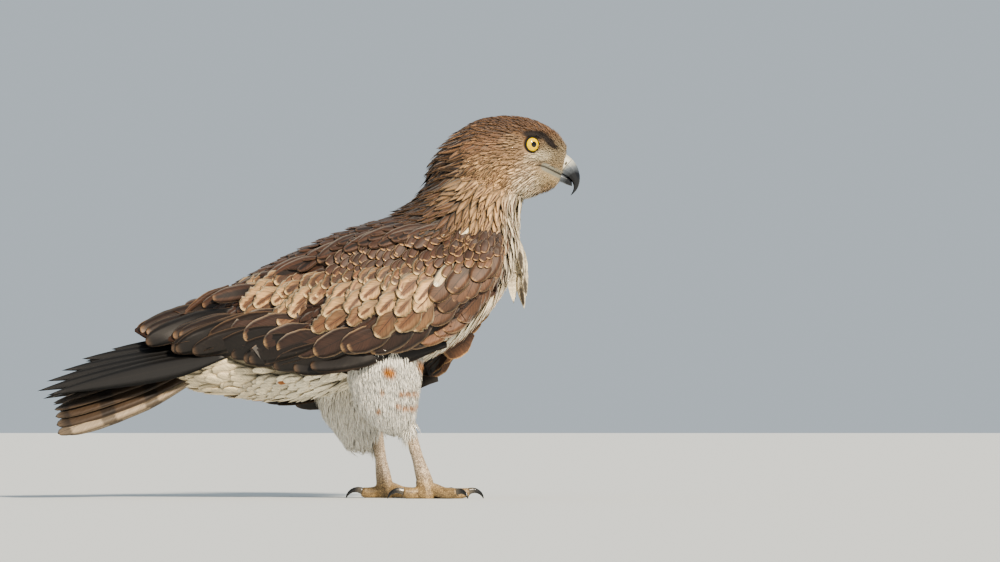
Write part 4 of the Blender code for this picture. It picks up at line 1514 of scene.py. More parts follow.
@dataclass
class BodyPlumage:
    """The feathers of head, neck, trunk and thighs, and the lining that backs the wings' rows."""

    skin: Skin
    seed: int = 11

    def build(self) -> list[bpy.types.Object]:
        """Feather the body.

        Returns:
            The coat's pieces.
        """
        self.dice = np.random.default_rng(self.seed)
        self._survey()
        soft = PlumageKeratin("soft_contour_feathers")
        fine = PlumageKeratin("fine_head_feathers", barb_pitch=0.7, streak=0.18, shaft=0.3, bump=0.00006)
        down = PlumageKeratin("white_down", 0.75, streak=0.06, shaft=0.0, bump=0.00002, sheen=0.25,
                              root_shade=0.93)
        dark = PlumageKeratin("mantle_feathers", 0.55, shaft=0.7)
        pieces = [
            ("coat_head", (Area.CAP, Area.CHEEK, Area.LORES, Area.CHIN), 0, fine, "brown_plumage"),
            ("coat_neck", (Area.NAPE, Area.COLLAR, Area.THROAT), 2, soft, "brown_plumage"),
            ("coat_back", (Area.MANTLE, Area.BACK), 0, dark, "brown_plumage"),
            ("coat_underparts", (Area.BREAST, Area.BELLY, Area.UNDERTAIL, Area.PLUME), 0, soft,
             "cream_plumage"),
            ("coat_wing_lining", (Area.WING,), 0, dark, "wing_coverts"),
        ]
        made = [self._piece(name, areas, axis, finish, slot, 0)
                for name, areas, axis, finish, slot in pieces]
        for side, word in SIDES.items():
            made.append(self._piece("coat_thigh_" + word, (Area.THIGH,), 2, down, "cream_plumage", side))
        return made

    def _survey(self) -> None:
        """Sort the skin's triangles by the area that they lie in."""
        corners = self.skin.points[self.skin.triangles]
        self.centres = corners.mean(axis=1)
        cross = np.cross(corners[:, 1] - corners[:, 0], corners[:, 2] - corners[:, 0])
        self.sizes = np.linalg.norm(cross, axis=1).astype(float) / 2
        self.corners = corners
        self.areas = areas_at(self.centres, self.skin.face_normals, self.skin.face_kinds)

    def _piece(self, name: str, areas: tuple[Area, ...], axis: int, finish: PlumageKeratin,
               slot: str, side: int) -> bpy.types.Object:
        """Feather some areas as one piece.

        Args:
            name: the piece's name.
            areas: the areas that it covers.
            axis: the axis along its centreline.
            finish: the feathers' finish.
            slot: passed to the coat, which keeps it unused.
            side: RIGHT or LEFT, or 0 for both.

        Returns:
            The piece.
        """
        coat = Coat(name, finish, slot)
        sown = [(area, *self._roots(area, side)) for area in areas]
        places = unwrapped(np.concatenate([roots for _, roots, _ in sown]), axis)
        start = 0
        for area, roots, faces in sown:
            self._lay(coat, area, roots, faces, places[start:start + len(roots)])
            start += len(roots)
        return coat.build()

    def _roots(self, area: Area, side: int) -> tuple[np.ndarray, np.ndarray]:
        """Scatter feather roots evenly over an area.

        Args:
            area: the area.
            side: RIGHT or LEFT, or 0 for both.

        Returns:
            The roots and the skin face of each.
        """
        chosen = np.flatnonzero((self.areas == area) & ((side == 0) | (self.centres[:, 1] * side > 0)))
        sizes = self.sizes[chosen]
        count = int(3.0 * sizes.sum() / PLOTS[area].spacing ** 2)
        faces = self.dice.choice(chosen, count, p=sizes / sizes.sum())
        a, b = np.sqrt(self.dice.random((count, 1))), self.dice.random((count, 1))
        corners = self.corners[faces]
        points = corners[:, 0] * (1 - a) + corners[:, 1] * a * (1 - b) + corners[:, 2] * a * b
        if area in (Area.CHEEK, Area.CAP, Area.LORES):
            for eye in SIDES:
                gap = points - eye_centre(eye)
                depth = gap @ eye_axis(eye)
                radius = np.linalg.norm(gap - depth[:, None] * eye_axis(eye), axis=1)
                clear = (radius > EYE_OPENING + 0.0022) | (depth < 0)
                points, faces = points[clear], faces[clear]
        if area in (Area.CHEEK, Area.LORES, Area.CHIN):
            clear = (line_distance(points, GAPE) > 0.0014) & (line_distance(points, MOUTH_CORNER) > 0.0048)
            points, faces = points[clear], faces[clear]
        kept = thinned_out(points, PLOTS[area].spacing)
        return points[kept], faces[kept]

    def _lay(self, coat: Coat, area: Area, roots: np.ndarray, faces: np.ndarray,
             places: np.ndarray) -> None:
        """Lay one area's feathers along the body.

        Args:
            coat: the piece that takes them.
            area: the area.
            roots: where they grow.
            faces: the skin face under each root.
            places: their places on the unwrap.
        """
        plot, form, count = PLOTS[area], PLOTS[area].form, len(roots)
        normals, kinds = self.skin.face_normals[faces], self.skin.face_kinds[faces]
        depths = np.maximum(self.skin.face_depths[faces], 0.0005) * plot.cover
        lengths = form.length * (1 + form.vary * np.clip(self.dice.normal(size=count), -2, 2))
        if area in (Area.CAP, Area.CHEEK):  # the feathers shrink towards the eye and the bill
            gaps = [np.linalg.norm(roots - eye_centre(side), axis=1) for side in SIDES]
            near = np.minimum(*gaps)
            lengths *= 0.45 + 0.55 * ease(near, 0.010, 0.034)
            lengths *= 1 + 1.3 * ease(0.215 - roots[:, 0], 0, 0.05)
        turns = np.radians(self.dice.normal(0, form.turn, count))
        line, ups = self._follow(area, roots, normals, lengths, turns)
        stops = form.stops()
        ahead = unit(line[:, 1] - line[:, 0])
        if area is Area.PLUME:
            ahead = side_plane(PLUME_LIE + np.degrees(turns))
            ups = np.repeat(unit(ups[:, :1] * (1, 1, 0)), len(stops), axis=1)
        straight = roots[:, None] + ahead[:, None] * (lengths[:, None] * stops)[..., None]
        line = line + (straight - line) * plot.stiff
        height = depths[:, None] * (0.10 + 0.90 * stops ** 0.65)
        height += np.sin(math.radians(form.stand)) * lengths[:, None] * stops ** 2
        ribs = line + ups * height[..., None]
        widths = form.width * lengths / form.length
        spot = line[:, int(0.7 * form.rings)]
        if area is Area.THIGH:
            flat = line.reshape(-1, 3)
            rings = form.rings + 1
            ground = painted(flat, np.repeat(kinds, rings), ups.reshape(-1, 3)).reshape(count, rings, 3)
        else:
            ground = painted(spot, kinds, normals)
        if area is Area.WING:
            ground = np.tile(linear(Hue.SCAPULAR), (count, 1))
        shades = np.clip(1 + 0.12 * self.dice.normal(size=count), 0.7, 1.35)
        tints = Tints.plain(ground * shades.reshape((count,) + (1,) * (ground.ndim - 1)))
        if plot.fringe:
            tints.fringe = tints.ground * 0.35 + linear(plot.fringe) * 0.65
            tints.fringe_width = np.full(count, plot.fringe_width)
        if plot.mark:
            carries = self.dice.random(count) < plot.marked
            tints.mark = np.tile(linear(plot.mark), (count, 1))
            tints.mark_form = np.where(carries[:, None], plot.mark_form, tints.mark_form)
        coat.add(form, ribs, ups, widths, tints, places)

    def _follow(self, area: Area, roots: np.ndarray, normals: np.ndarray, lengths: np.ndarray,
                turns: np.ndarray) -> tuple[np.ndarray, np.ndarray]:
        """Walk each midrib along the skin in the lie of the plumage.

        Args:
            area: the area.
            roots: where they start.
            normals: the skin's normals there.
            lengths: how far each goes.
            turns: how much each strays from the lie, in radians.

        Returns:
            The midribs' points on the skin, and the normals there.
        """
        place, up = roots, normals
        line, ups = [roots], [normals]
        stops = PLOTS[area].form.stops()
        for start, end in zip(stops, stops[1:]):
            run = np.tile(side_plane(THIGH_LIE), (len(place), 1)) if area is Area.THIGH else lie(place)
            run = unit(run - (run * up).sum(-1, keepdims=True) * up)
            side = np.cross(up, run)
            run = run * np.cos(turns)[:, None] + side * np.sin(turns)[:, None]
            place, fresh, _ = self.skin.nearest(place + run * (lengths * (end - start))[:, None])
            up = unit(up + fresh)
            line.append(place)
            ups.append(up)
        return np.stack(line, axis=1), np.stack(ups, axis=1)


# ---------------------------------------------------------------- wings and tail


@dataclass(frozen=True)
class Row:
    """One row of wing feathers, told by the line on which their tips lie.

    A tip's place is its x and its share of the way down the wing.
    """

    form: FeatherForm
    count: int
    tips: tuple[tuple[float, float], ...]
    headings: tuple[float, float]  # degrees, at the first and at the last feather
    layer: tuple[float, float]  # height over the skin at root and tip, in metres
    ground: str
    fringe: str
    fringe_width: float = 0.12
    mark: str = ""
    mark_form: tuple[float, float, float] = (0.02, -3.0, 0.02)
    bend: float = 0.0  # degrees that a feather curves along its length
    sway: float = 5.0  # degrees of scatter in its heading
    scatter: float = 0.018  # and in its tip's share of the way down


LESSER = FeatherForm(0.0165, 0.0115, Tip.ROUND, 7, 5, camber=0.13, ragged=0.06)
MIDDLE = FeatherForm(0.0250, 0.0170, Tip.ROUND, 10, 5, camber=0.10, ragged=0.30)
MEDIAN = FeatherForm(0.0340, 0.0240, Tip.ROUND, 14, 5, camber=0.09, ragged=0.36)
GREATER = FeatherForm(0.0640, 0.0300, Tip.ROUND, 12, 5, camber=0.08, ragged=0.06)
ALULA = FeatherForm(0.0560, 0.0170, Tip.ROUND, 12, 5, camber=0.16)
WRIST = FeatherForm(0.0360, 0.0240, Tip.ROUND, 10, 5, camber=0.11, ragged=0.06)
PALE = FeatherForm(0.0380, 0.0140, Tip.ROUND, 10, 5, camber=0.20)
SCAPULAR = FeatherForm(0.0600, 0.0190, Tip.ROUND, 11, 5, camber=0.12, ragged=0.10)
SECONDARY = FeatherForm(0.1000, 0.0270, Tip.ROUND, 14, 5, camber=0.10, ragged=0.03)
TERTIAL = FeatherForm(0.0820, 0.0270, Tip.ROUND, 14, 5, camber=0.14, ragged=0.06)
FLUFF = FeatherForm(0.0170, 0.0090, Tip.ROUND, 7, 5, camber=0.3, ragged=0.2)

FLIGHT_ROWS = (
    Row(SECONDARY, 14, ((0.045, 1.0), (-0.040, 1.0), (-0.110, 1.03), (-0.170, 1.12)), (189, 198),
        (0.0006, 0.0030), Hue.SECONDARY, Hue.SECONDARY_EDGE, 0.07, bend=8, sway=1.5, scatter=0.006),
    Row(TERTIAL, 7, ((-0.110, 0.80), (-0.150, 0.72), (-0.188, 0.60)), (200, 198),
        (0.0004, 0.0026), Hue.TERTIAL, Hue.SCAPULAR_EDGE, 0.10, bend=-4, sway=2),
)
HEART = (0.24, 0.66, 0.46)
COVERT_ROWS = (
    Row(ALULA, 4, ((0.122, 0.98), (0.100, 1.01)), (214, 205), (0.0002, 0.0012), Hue.SECONDARY,
        Hue.SECONDARY_EDGE, 0.08),
    Row(GREATER, 11, ((0.104, 0.94), (0.044, 0.89), (-0.030, 0.83), (-0.092, 0.68)), (210, 202),
        (0.0004, 0.0024), Hue.GREATER, Hue.GREATER_EDGE, 0.10, bend=-8),
    Row(MEDIAN, 9, ((0.118, 0.86), (0.081, 0.82), (0.045, 0.69), (-0.020, 0.62), (-0.070, 0.48)),
        (228, 210), (0.0012, 0.0034), Hue.BUFF_BROWN, Hue.MEDIAN_EDGE, 0.16, Hue.MEDIAN_HEART,
        (0.30, 0.60, 0.46)),
    Row(MEDIAN, 11, ((0.116, 0.73), (0.045, 0.58), (-0.020, 0.50), (-0.074, 0.36)), (230, 212),
        (0.0016, 0.0038), Hue.MEDIAN, Hue.MEDIAN_EDGE, 0.20, Hue.MEDIAN_HEART, HEART),
    Row(MEDIAN, 12, ((0.118, 0.61), (0.045, 0.48), (-0.020, 0.40), (-0.078, 0.25)), (232, 214),
        (0.0020, 0.0042), Hue.MEDIAN, Hue.MEDIAN_EDGE, 0.20, Hue.MEDIAN_HEART, HEART),
    Row(MIDDLE, 15, ((0.120, 0.50), (0.045, 0.39), (-0.020, 0.31), (-0.080, 0.14)), (236, 216),
        (0.0024, 0.0045), "ac845c", Hue.MEDIAN_EDGE, 0.22, Hue.MEDIAN_HEART, (0.45, 0.60, 0.42)),
    Row(MIDDLE, 15, ((0.118, 0.42), (0.045, 0.31), (-0.020, 0.23), (-0.060, 0.10)), (240, 218),
        (0.0028, 0.0048), "94704d", Hue.MEDIAN_EDGE, 0.22, "4d3422", (0.55, 0.60, 0.45)),
    Row(WRIST, 5, ((0.176, 0.92), (0.150, 0.95), (0.122, 0.96)), (232, 214), (0.0008, 0.0024),
        "6a4a34", "c9a274", 0.10),
    Row(WRIST, 5, ((0.186, 0.75), (0.158, 0.77), (0.126, 0.80)), (244, 220), (0.0014, 0.0032),
        "5f4330", "c9a274", 0.10),
    Row(WRIST, 5, ((0.194, 0.59), (0.168, 0.60), (0.134, 0.63)), (252, 226), (0.0020, 0.0038),
        "5a3f2c", "c49b6c", 0.10),
    Row(PALE, 1, ((0.139, 0.50), (0.139, 0.50)), (226, 226), (0.0030, 0.0040), "d9bf96", "efe0c2", 0.3),
    Row(FLUFF, 3, ((0.146, 0.02), (0.166, 0.00)), (200, 188), (0.0026, 0.0058), "ddceb0", "f0e6d0", 0.2,
        sway=6),
    Row(LESSER, 22, ((0.208, 0.44), (0.120, 0.40), (0.020, 0.26), (-0.040, 0.12)), (252, 218),
        (0.0026, 0.0046), "6b4a32", "cfab7a", 0.20),
    Row(LESSER, 25, ((0.211, 0.35), (0.120, 0.31), (0.020, 0.19)), (255, 222),
        (0.0029, 0.0049), Hue.LESSER, Hue.LESSER_EDGE, 0.20),
    Row(LESSER, 26, ((0.213, 0.26), (0.120, 0.23), (0.020, 0.12)), (258, 225), (0.0032, 0.0051),
        Hue.LESSER, Hue.LESSER_EDGE, 0.20),
    Row(LESSER, 24, ((0.212, 0.17), (0.120, 0.15), (0.030, 0.07)), (260, 228), (0.0035, 0.0053),
        Hue.LESSER, Hue.LESSER_EDGE, 0.20),
    Row(LESSER, 22, ((0.208, 0.09), (0.120, 0.08), (0.040, 0.04)), (262, 232), (0.0038, 0.0055),
        Hue.LESSER, Hue.LESSER_EDGE, 0.20),
    Row(LESSER, 12, ((0.2060, 0.50), (0.2020, 0.70), (0.1900, 0.92)), (262, 250), (0.0016, 0.0034),
        "5a3f2c", "c9a274", 0.16),
    Row(SCAPULAR, 13, ((0.110, 0.02), (0.040, 0.03), (-0.060, 0.06), (-0.135, 0.20)), (196, 206),
        (0.0034, 0.0056), Hue.SCAPULAR, Hue.SCAPULAR_EDGE, 0.10, "22150e", (0.35, 0.5, 0.6), 4),
)


@dataclass
class WingPlumage:
    """The rows of coverts, secondaries and tertials on one folded wing."""

    skin: Skin
    side: int

    def build(self) -> list[bpy.types.Object]:
        """Feather the wing.

        Returns:
            Its two pieces: coverts and flight feathers.
        """
        self.xs, self.top, self.bottom = wing_edges(self.side)
        self.dice = np.random.default_rng(40 + self.side)
        word = SIDES[self.side]
        coverts = Coat("wing_coverts_" + word,
                       PlumageKeratin("covert_vanes", 0.58, streak=0.30, shaft=0.7, shaft_width=0.05),
                       "wing_coverts")
        flights = Coat("flight_feathers_" + word,
                       PlumageKeratin("flight_vanes", 0.5, streak=0.24, shaft=0.5, sheen=0.03,
                                      root_shade=0.85),
                       "dark_quills")
        for row in COVERT_ROWS:
            self._row(coverts, row)
        for row in FLIGHT_ROWS:
            self._row(flights, row)
        self._primaries(flights)
        made = [coverts.build(), flights.build()]
        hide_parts("primaries_" + word)
        return made

    def place(self, x: float, t: float) -> tuple[float, float]:
        """Turn a place on the wing into x and z."""
        top, bottom = np.interp(x, self.xs, self.top), np.interp(x, self.xs, self.bottom)
        return x, top + t * (bottom - top)

    def _row(self, coat: Coat, row: Row) -> None:
        """Lay one row of feathers.

        Args:
            coat: the piece that takes them.
            row: the row.
        """
        tips = np.array(row.tips)
        runs = np.concatenate([[0], np.cumsum(np.linalg.norm(np.diff(tips, axis=0) * (1, 0.1), axis=1))])
        ribs, ups, lengths = [], [], []
        for i in range(row.count):
            share = (i + 0.25 * self.dice.normal()) / max(row.count - 1, 1)
            run = np.clip(share, 0, 1) * runs[-1]
            x, t = (float(np.interp(run, runs, tips[:, c])) for c in (0, 1))
            heading = row.headings[0] + share * (row.headings[1] - row.headings[0])
            heading += self.dice.normal() * row.sway
            length = row.form.length * (1 + 0.08 * self.dice.normal())
            t += row.scatter * self.dice.normal()
            x += 0.04 * row.form.length * self.dice.normal()
            while heading < 268 and x - length * math.cos(math.radians(heading)) > self.xs[-1] - 0.006:
                heading += 3  # its root stays behind the wing's front edge
            rib, up = self._rib(row, self.place(x, t), heading, length, 0.0004 * (i % 2))
            ribs.append(rib)
            ups.append(up)
            lengths.append(length)
        count = len(ribs)
        vary = 1 + 0.16 * self.dice.normal(size=(count, 1))
        tints = Tints.plain(linear(row.ground) * np.clip(vary, 0.7, 1.4))
        tints.fringe = np.tile(linear(row.fringe), (count, 1))
        tints.fringe_width = np.full(count, row.fringe_width)
        if row.mark:
            tints.mark = np.tile(linear(row.mark), (count, 1))
            spread = 1 + 0.25 * self.dice.normal(size=(count, 3)) * (1, 0.3, 1)
            tints.mark_form = np.array(row.mark_form) * np.clip(spread, 0.5, 1.5)
        ribs = np.array(ribs)
        low, high = self.xs[0] - 0.1, self.xs[-1]
        across = np.array([np.interp(z, (0.10, 0.30), (0, 1)) for z in ribs[:, 0, 2]])
        places = np.stack([(ribs[:, 0, 0] - low) / (high - low), across], axis=1)
        widths = row.form.width * np.array(lengths) / row.form.length
        coat.add(row.form, ribs, np.array(ups), widths, tints, places)

    def _rib(self, row: Row, tip: tuple[float, float], heading: float, length: float,
             step: float) -> tuple[np.ndarray, np.ndarray]:
        """Run one midrib over the wing's outer face to its tip.

        Args:
            row: the row it is in.
            tip: x and z of its tip.
            heading: its direction in the side plane.
            length: its length.
            step: how much higher it lies than its neighbours.

        Returns:
            The midrib's points and the directions its upper side faces.
        """
        stops = row.form.stops()
        angles = heading + row.bend * (stops - 0.5)
        steps = np.diff(stops, prepend=0)[:, None] * length * side_plane(angles)
        rib = np.cumsum(steps, axis=0)
        rib += np.array([tip[0], 0, tip[1]]) - rib[-1]
        hits = [self.skin.from_side(p[0], p[2], self.side) for p in rib]
        out = np.array([h[0][1] * self.side if h else -1.0 for h in hits])
        start = int(out.argmax())
        if out[start] < 0.006:
            rib[:, 1] = self.side * 0.045
            return rib, np.tile((0, self.side, 0.2), (len(stops), 1))
        kept = [start]  # from its outermost point, the midrib goes on only over even ground
        for order in (range(start + 1, len(stops)), range(start - 1, -1, -1)):
            last = start
            for k in order:
                if abs(out[k] - out[last]) < 0.6 * length * abs(stops[k] - stops[last]) + 0.0008:
                    kept.append(k)
                    last = k
        kept.sort()
        where = stops[kept]
        facing = np.array([hits[k][1] for k in kept])
        track = np.column_stack([np.interp(stops, where, out[kept])]
                                + [np.interp(stops, where, facing[:, c]) for c in range(3)])
        for _ in range(3):
            track[1:-1] = 0.5 * track[1:-1] + 0.25 * (track[:-2] + track[2:])
        rib[:, 1] = self.side * track[:, 0]
        ups = track[:, 1:]
        ups = unit(0.5 * unit(ups) + (0, self.side, 0))
        low, high = row.layer
        rib += ups * (low + (high - low) * stops + step)[:, None]
        return rib, ups

    def _primaries(self, coat: Coat) -> None:
        """Lay the folded primaries, which reach past the wing in steps.

        Args:
            coat: the flight feathers' piece.
        """
        form = FeatherForm(0.21, 0.0260, Tip.POINTED, 16, 5, camber=0.10)
        low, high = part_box("primaries_" + SIDES[self.side])
        steps = ((0.0110, -0.0060), (0, 0), (0.0100, 0.0120), (0.0260, 0.0250), (0.0480, 0.0390),
                 (0.0800, 0.0510))
        last = len(steps) - 1
        stops = form.stops()
        ribs = []
        for i, (ahead, above) in enumerate(steps):
            share = i / last
            droop = 0.010 * (1 - share) if self.side == LEFT else 0
            root = np.array([-0.085, self.side * (0.044 - 0.008 * share), 0.167 - 0.008 * (1 - share)])
            tip = np.array([-0.2970 + ahead, self.side * (0.040 - 0.016 * share), 0.1085 + above - droop])
            bow = 0.010 * (1 - 0.6 * share) * np.sin(math.pi / 2 * stops) ** 2
            rib = root + (tip - root) * stops[:, None]
            rib[:, 2] += bow
            rib[:, 1] += self.side * 0.0008 * (last / 2 - i)
            ribs.append(rib)
        count = len(ribs)
        ups = np.tile(unit(np.array([0, self.side, 0.30])), (count, len(stops), 1))
        tints = Tints.plain(np.tile(linear(Hue.PRIMARY), (count, 1)))
        tints.fringe = np.tile(linear("1f1a16"), (count, 1))
        tints.fringe_width = np.full(count, 0.06)
        places = np.stack([np.full(count, 0.05), np.linspace(0.1, 0.9, count)], axis=1)
        coat.add(form, np.array(ribs), ups, np.full(count, form.width), tints, places)


@dataclass
class Tail:
    """Twelve tail feathers, folded into a shallow roof, pale on the outer ones' webs."""

    count: int = 12
    root: tuple[float, float] = (-0.118, 0.161)
    half_root: float = 0.017
    half_tip: float = 0.041
    tip_height: float = 0.1020
    roof: float = 0.0310
    arch: float = 0.007
    width: float = 0.030

    def build(self) -> bpy.types.Object:
        """Build the tail.

        Returns:
            The piece.
        """
        finish = PlumageKeratin("tail_vanes", 0.5, streak=0.20, shaft=0.6, bands=3.4, root_shade=0.9)
        coat = Coat("tail_feathers", finish, "dark_quills")
        form = FeatherForm(0.17, self.width, Tip.ROUND, 16, 5, camber=0.10, ragged=0.03)
        stops = form.stops()
        tip_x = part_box("tail")[0].x + 0.002
        order = sorted(range(self.count), key=lambda i: -abs(2 * i / (self.count - 1) - 1))
        ribs, ups, grounds = [], [], []
        for level, i in enumerate(order):
            place = 2 * i / (self.count - 1) - 1
            fall = self.roof * abs(place) ** 1.3
            root = np.array([self.root[0], self.half_root * place, self.root[1] - 0.82 * fall])
            step = 0.0018 * abs(i - (self.count - 1) / 2)
            tip = np.array([tip_x + step, self.half_tip * place, self.tip_height - fall])
            rib = root + (tip - root) * stops[:, None]
            rib[:, 2] += self.arch * (1 - abs(place)) * np.sin(math.pi / 2 * stops) ** 2 + 0.0004 * level
            ribs.append(rib)
            ups.append(np.tile(unit(np.array([0.2, 0.95 * place, 1.0])), (len(stops), 1)))
            grounds.append(linear(Hue.TAIL_UNDER if abs(place) > 0.9 else Hue.TAIL))
        count = len(ribs)
        tints = Tints.plain(np.array(grounds))
        tints.fringe = np.tile(linear("75634e"), (count, 1))
        tints.fringe_width = np.full(count, 0.07)
        places = np.stack([np.linspace(0.05, 0.95, count), np.full(count, 0.5)], axis=1)
        coat.add(form, np.array(ribs), np.array(ups), np.full(count, self.width), tints, places)
        made = coat.build()
        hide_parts("tail")
        return made


# ---------------------------------------------------------------- bill, eyes and claws


@dataclass
class Bill:
    """The hooked bill: grey cere with slit nostrils, upper bill over the lower one."""

    voxel: float = 0.00045
    rounds: int = 6
    nostril: tuple[float, float] = (0.2812, 0.3677)
    nostril_size: tuple[float, float] = (0.0024, 0.0009)
    nostril_heading: float = 62.0
    nostril_depth: float = 0.0014

    def build(self) -> list[bpy.types.Object]:
        """Build the bill.

        Returns:
            Its three pieces.
        """
        horn = Horn("bill_horn", "b9b8ac", "62686e", "16181c", 0.28)
        waxy = Horn("waxy_cere", "c8c2b0", "b5b1a4", "8d8e8c", 0.42)
        made = []
        for name, finish in (("cere", waxy), ("bill_upper", horn), ("bill_lower", horn)):
            piece = smooth_copy(name + "_fine", [name], self.voxel, self.rounds)
            points, _ = mesh_arrays(piece.data)
            gap = np.hypot(points[:, 0] - 0.294, points[:, 2] - 0.345)
            reach = 1 - np.clip((gap - 0.009) / 0.021, 0, 1)
            if name == "cere":
                reach = 0.3 * reach
            if name == "bill_lower":  # its upper rim closes against the bill above
                middle = np.interp(points[:, 0], (0.257, 0.288), (0.356, 0.3445))
                points[:, 2] += 0.0018 * ease(points[:, 2] - middle, -0.002, 0.002)
            pit = self._nostrils(points)
            side = np.sign(points[:, 1])
            points[:, 1] -= side * pit * self.nostril_depth * (np.abs(points[:, 1]) > 0.003)
            piece.data.vertices.foreach_set("co", points.ravel())
            piece.data.update()
            piece.data.shade_smooth()
            # Besides denting the nostrils, the pit share paints them near black in the horn finish: painted
            # shade in their openings.
            for word, values in (("reach", reach), ("pit", ease(pit, 0.35, 0.8))):
                store = piece.data.attributes.new(word, "FLOAT", "POINT").data
                store.foreach_set("value", values)
            piece.data.materials.append(finish.material())
            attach(piece, "root")
            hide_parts(name)
            made.append(piece)
        return made

    def _nostrils(self, points: np.ndarray) -> np.ndarray:
        """How deep in a nostril each point lies, from 0 to 1."""
        along = side_plane(self.nostril_heading)
        dx, dz = points[:, 0] - self.nostril[0], points[:, 2] - self.nostril[1]
        u = (dx * along[0] + dz * along[2]) / self.nostril_size[0]
        v = (dz * along[0] - dx * along[2]) / self.nostril_size[1]
        return 1 - ease(np.hypot(u, v), 0.5, 1.2)


@dataclass
class Eyes:
    """Two eyeballs with a slight corneal bulge."""

    bulge: float = 0.0005
    bulge_angle: float = math.radians(40)

    def build(self) -> list[bpy.types.Object]:
        """Build both eyes.

        Returns:
            The two eyeballs.
        """
        finish = WetIris().material()
        made = []
        for side, word in SIDES.items():
            work = bmesh.new()
            bmesh.ops.create_uvsphere(work, u_segments=64, v_segments=48, radius=EYE_RADIUS - 0.0002)
            for vert in work.verts:
                angle = vert.co.angle(Vector((0, 0, 1)))
                rise = max(0.0, 1 - (angle / self.bulge_angle) ** 2) * self.bulge
                vert.co += vert.co.normalized() * rise
            mesh = bpy.data.meshes.new("eyeball_" + word)
            work.to_mesh(mesh)
            work.free()
            points, _ = mesh_arrays(mesh)
            rings = np.where(points[:, 2] > 0, np.hypot(points[:, 0], points[:, 1]), 0.02) / MM
            flat = unit(np.stack([points[:, 0], points[:, 1], np.zeros(len(points))], axis=1))
            flat[:, 2] = rings * 0.05
            mesh.attributes.new("ring", "FLOAT", "POINT").data.foreach_set("value", rings)
            mesh.attributes.new("spoke", "FLOAT_VECTOR", "POINT").data.foreach_set("vector", flat.ravel())
            turn = Vector((0, 0, 1)).rotation_difference(Vector(eye_axis(side))).to_matrix().to_4x4()
            mesh.transform(Matrix.Translation(Vector(eye_centre(side))) @ turn)
            mesh.shade_smooth()
            mesh.materials.append(finish)
            ball = bpy.data.objects.new("eyeball_" + word, mesh)
            bpy.context.scene.collection.objects.link(ball)
            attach(ball, "root")
            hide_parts("eye_" + word)
            made.append(ball)
        return made


@dataclass
class Claws:
    """Eight curved claws, smooth and glossy."""

    voxel: float = 0.00038
    rounds: int = 5

    def build(self) -> list[bpy.types.Object]:
        """Build the claws.

        Returns:
            One piece a claw.
        """
        finish = Horn("claw_horn", "5b554c", "2c2a29", "121213", 0.22).material()
        made = []
        for node in sorted(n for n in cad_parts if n.startswith("claw_")):
            piece = smooth_copy(node + "_fine", [node], self.voxel, self.rounds)
            points, _ = mesh_arrays(piece.data)
            ankle = 0.1288 if node.endswith("right") else 0.0825
            out = np.hypot(points[:, 0] - ankle, np.abs(points[:, 1]) - 0.034)
            reach = ease(out, out.min(), out.max())
            for word, values in (("reach", reach), ("pit", np.zeros(len(points)))):
                piece.data.attributes.new(word, "FLOAT", "POINT").data.foreach_set("value", values)
            piece.data.materials.append(finish)
            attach(piece, "root")
            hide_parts(node)
            made.append(piece)
        return made


# ---------------------------------------------------------------- studio


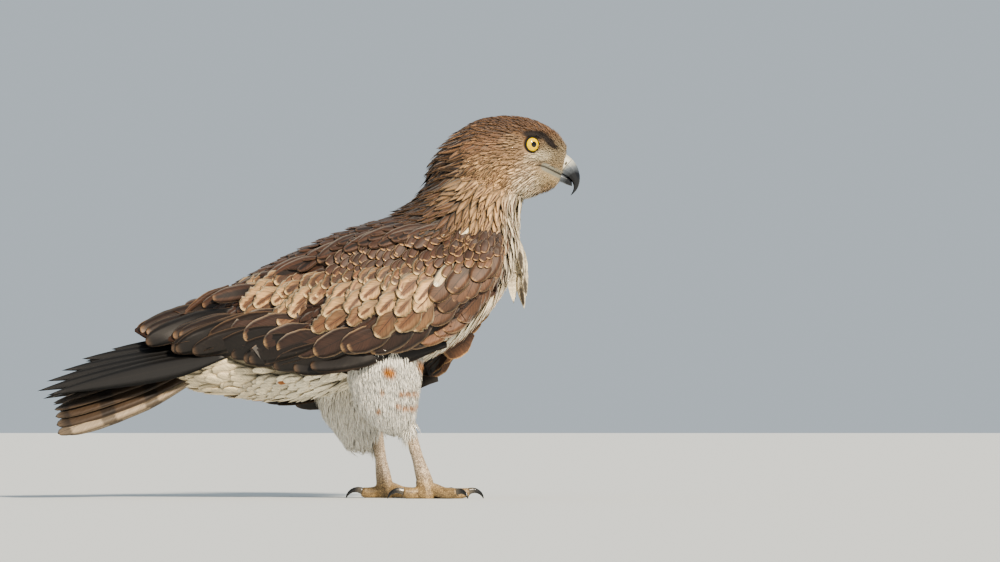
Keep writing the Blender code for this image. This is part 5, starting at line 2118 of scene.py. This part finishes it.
@dataclass
class Studio:
    """A pale floor and backdrop colour, soft lights and the camera."""

    lens: float = 200.0
    field: float = 1.1  # metres that the picture is wide at the bird
    aim: tuple[float, float] = (0.2088, 0.2387)  # x and z at the picture's middle
    look_up: float = math.radians(1.5)
    sun: float = 5.4
    sun_softness: float = math.radians(9)
    sun_place: tuple[float, float, float] = (0.75, -1.25, 0.95)
    sky: float = 0.60

    def build(self) -> None:
        """Set up the floor, the lights and the camera."""
        self._floor()
        self._world()
        self._sun()
        self._camera()

    def _floor(self) -> None:
        """Lay a wide, matt, pale floor."""
        half = 60.0
        corners = np.array([(-half, -half, 0), (half, -half, 0), (half, half, 0), (-half, half, 0)])
        floor = new_object("floor", corners, [np.array([[0, 1, 2, 3]])])
        made, tree, surface = start_material("pale_studio_floor", 0.9, 1.45, {"Specular IOR Level": 0.1})
        surface.inputs["Base Color"].default_value = (*linear("d9dcdc"), 1)
        floor.data.materials.append(made)

    def _world(self) -> None:
        """Light everything a little from all sides by a pale sky."""
        world = bpy.data.worlds.new("studio")
        world.use_nodes = True
        back = world.node_tree.nodes["Background"]
        back.inputs["Color"].default_value = (*linear("dbe6ee"), 1)
        back.inputs["Strength"].default_value = self.sky
        bpy.context.scene.world = world
        bpy.context.scene.view_settings.look = "AgX - Medium High Contrast"

    def _sun(self) -> None:
        """Add a large soft lamp, high at the bird's right front, as even as the sun."""
        data = bpy.data.lights.new("key", "SUN")
        data.energy, data.angle, data.color = self.sun, self.sun_softness, linear("fff1dc")
        lamp = bpy.data.objects.new("key", data)
        lamp.rotation_euler = (-Vector(self.sun_place)).to_track_quat("-Z", "Y").to_euler()
        bpy.context.scene.collection.objects.link(lamp)

    def _camera(self) -> None:
        """Stand the camera at the bird's right side, a little below its middle."""
        sensor = 36.0
        away = self.field * self.lens / sensor
        aim = Vector((self.aim[0], 0, self.aim[1]))
        data = bpy.data.cameras.new("camera")
        data.lens, data.sensor_width = self.lens, sensor
        data.clip_end = 200.0
        camera = bpy.data.objects.new("camera", data)
        camera.location = aim + Vector((0, -away * math.cos(self.look_up), -away * math.sin(self.look_up)))
        camera.rotation_euler = (aim - camera.location).to_track_quat("-Z", "Y").to_euler()
        bpy.context.scene.collection.objects.link(camera)
        bpy.context.scene.camera = camera


def report(piece: bpy.types.Object) -> None:
    """Log a piece and its triangles."""
    piece.data.calc_loop_triangles()
    LOG.info("%s: %d triangles", piece.name, len(piece.data.loop_triangles))


def main() -> None:
    """Build the eagle and its studio."""
    logging.basicConfig(level=logging.INFO, format="%(message)s")
    skin = Skin()
    report(skin.build())
    for piece in BodyPlumage(skin).build():
        report(piece)
    for side in SIDES:
        for piece in WingPlumage(skin, side).build():
            report(piece)
    report(Tail().build())
    for piece in Bill().build() + Eyes().build() + Claws().build():
        report(piece)
    Studio().build()


if __name__ == "__main__":
    main()
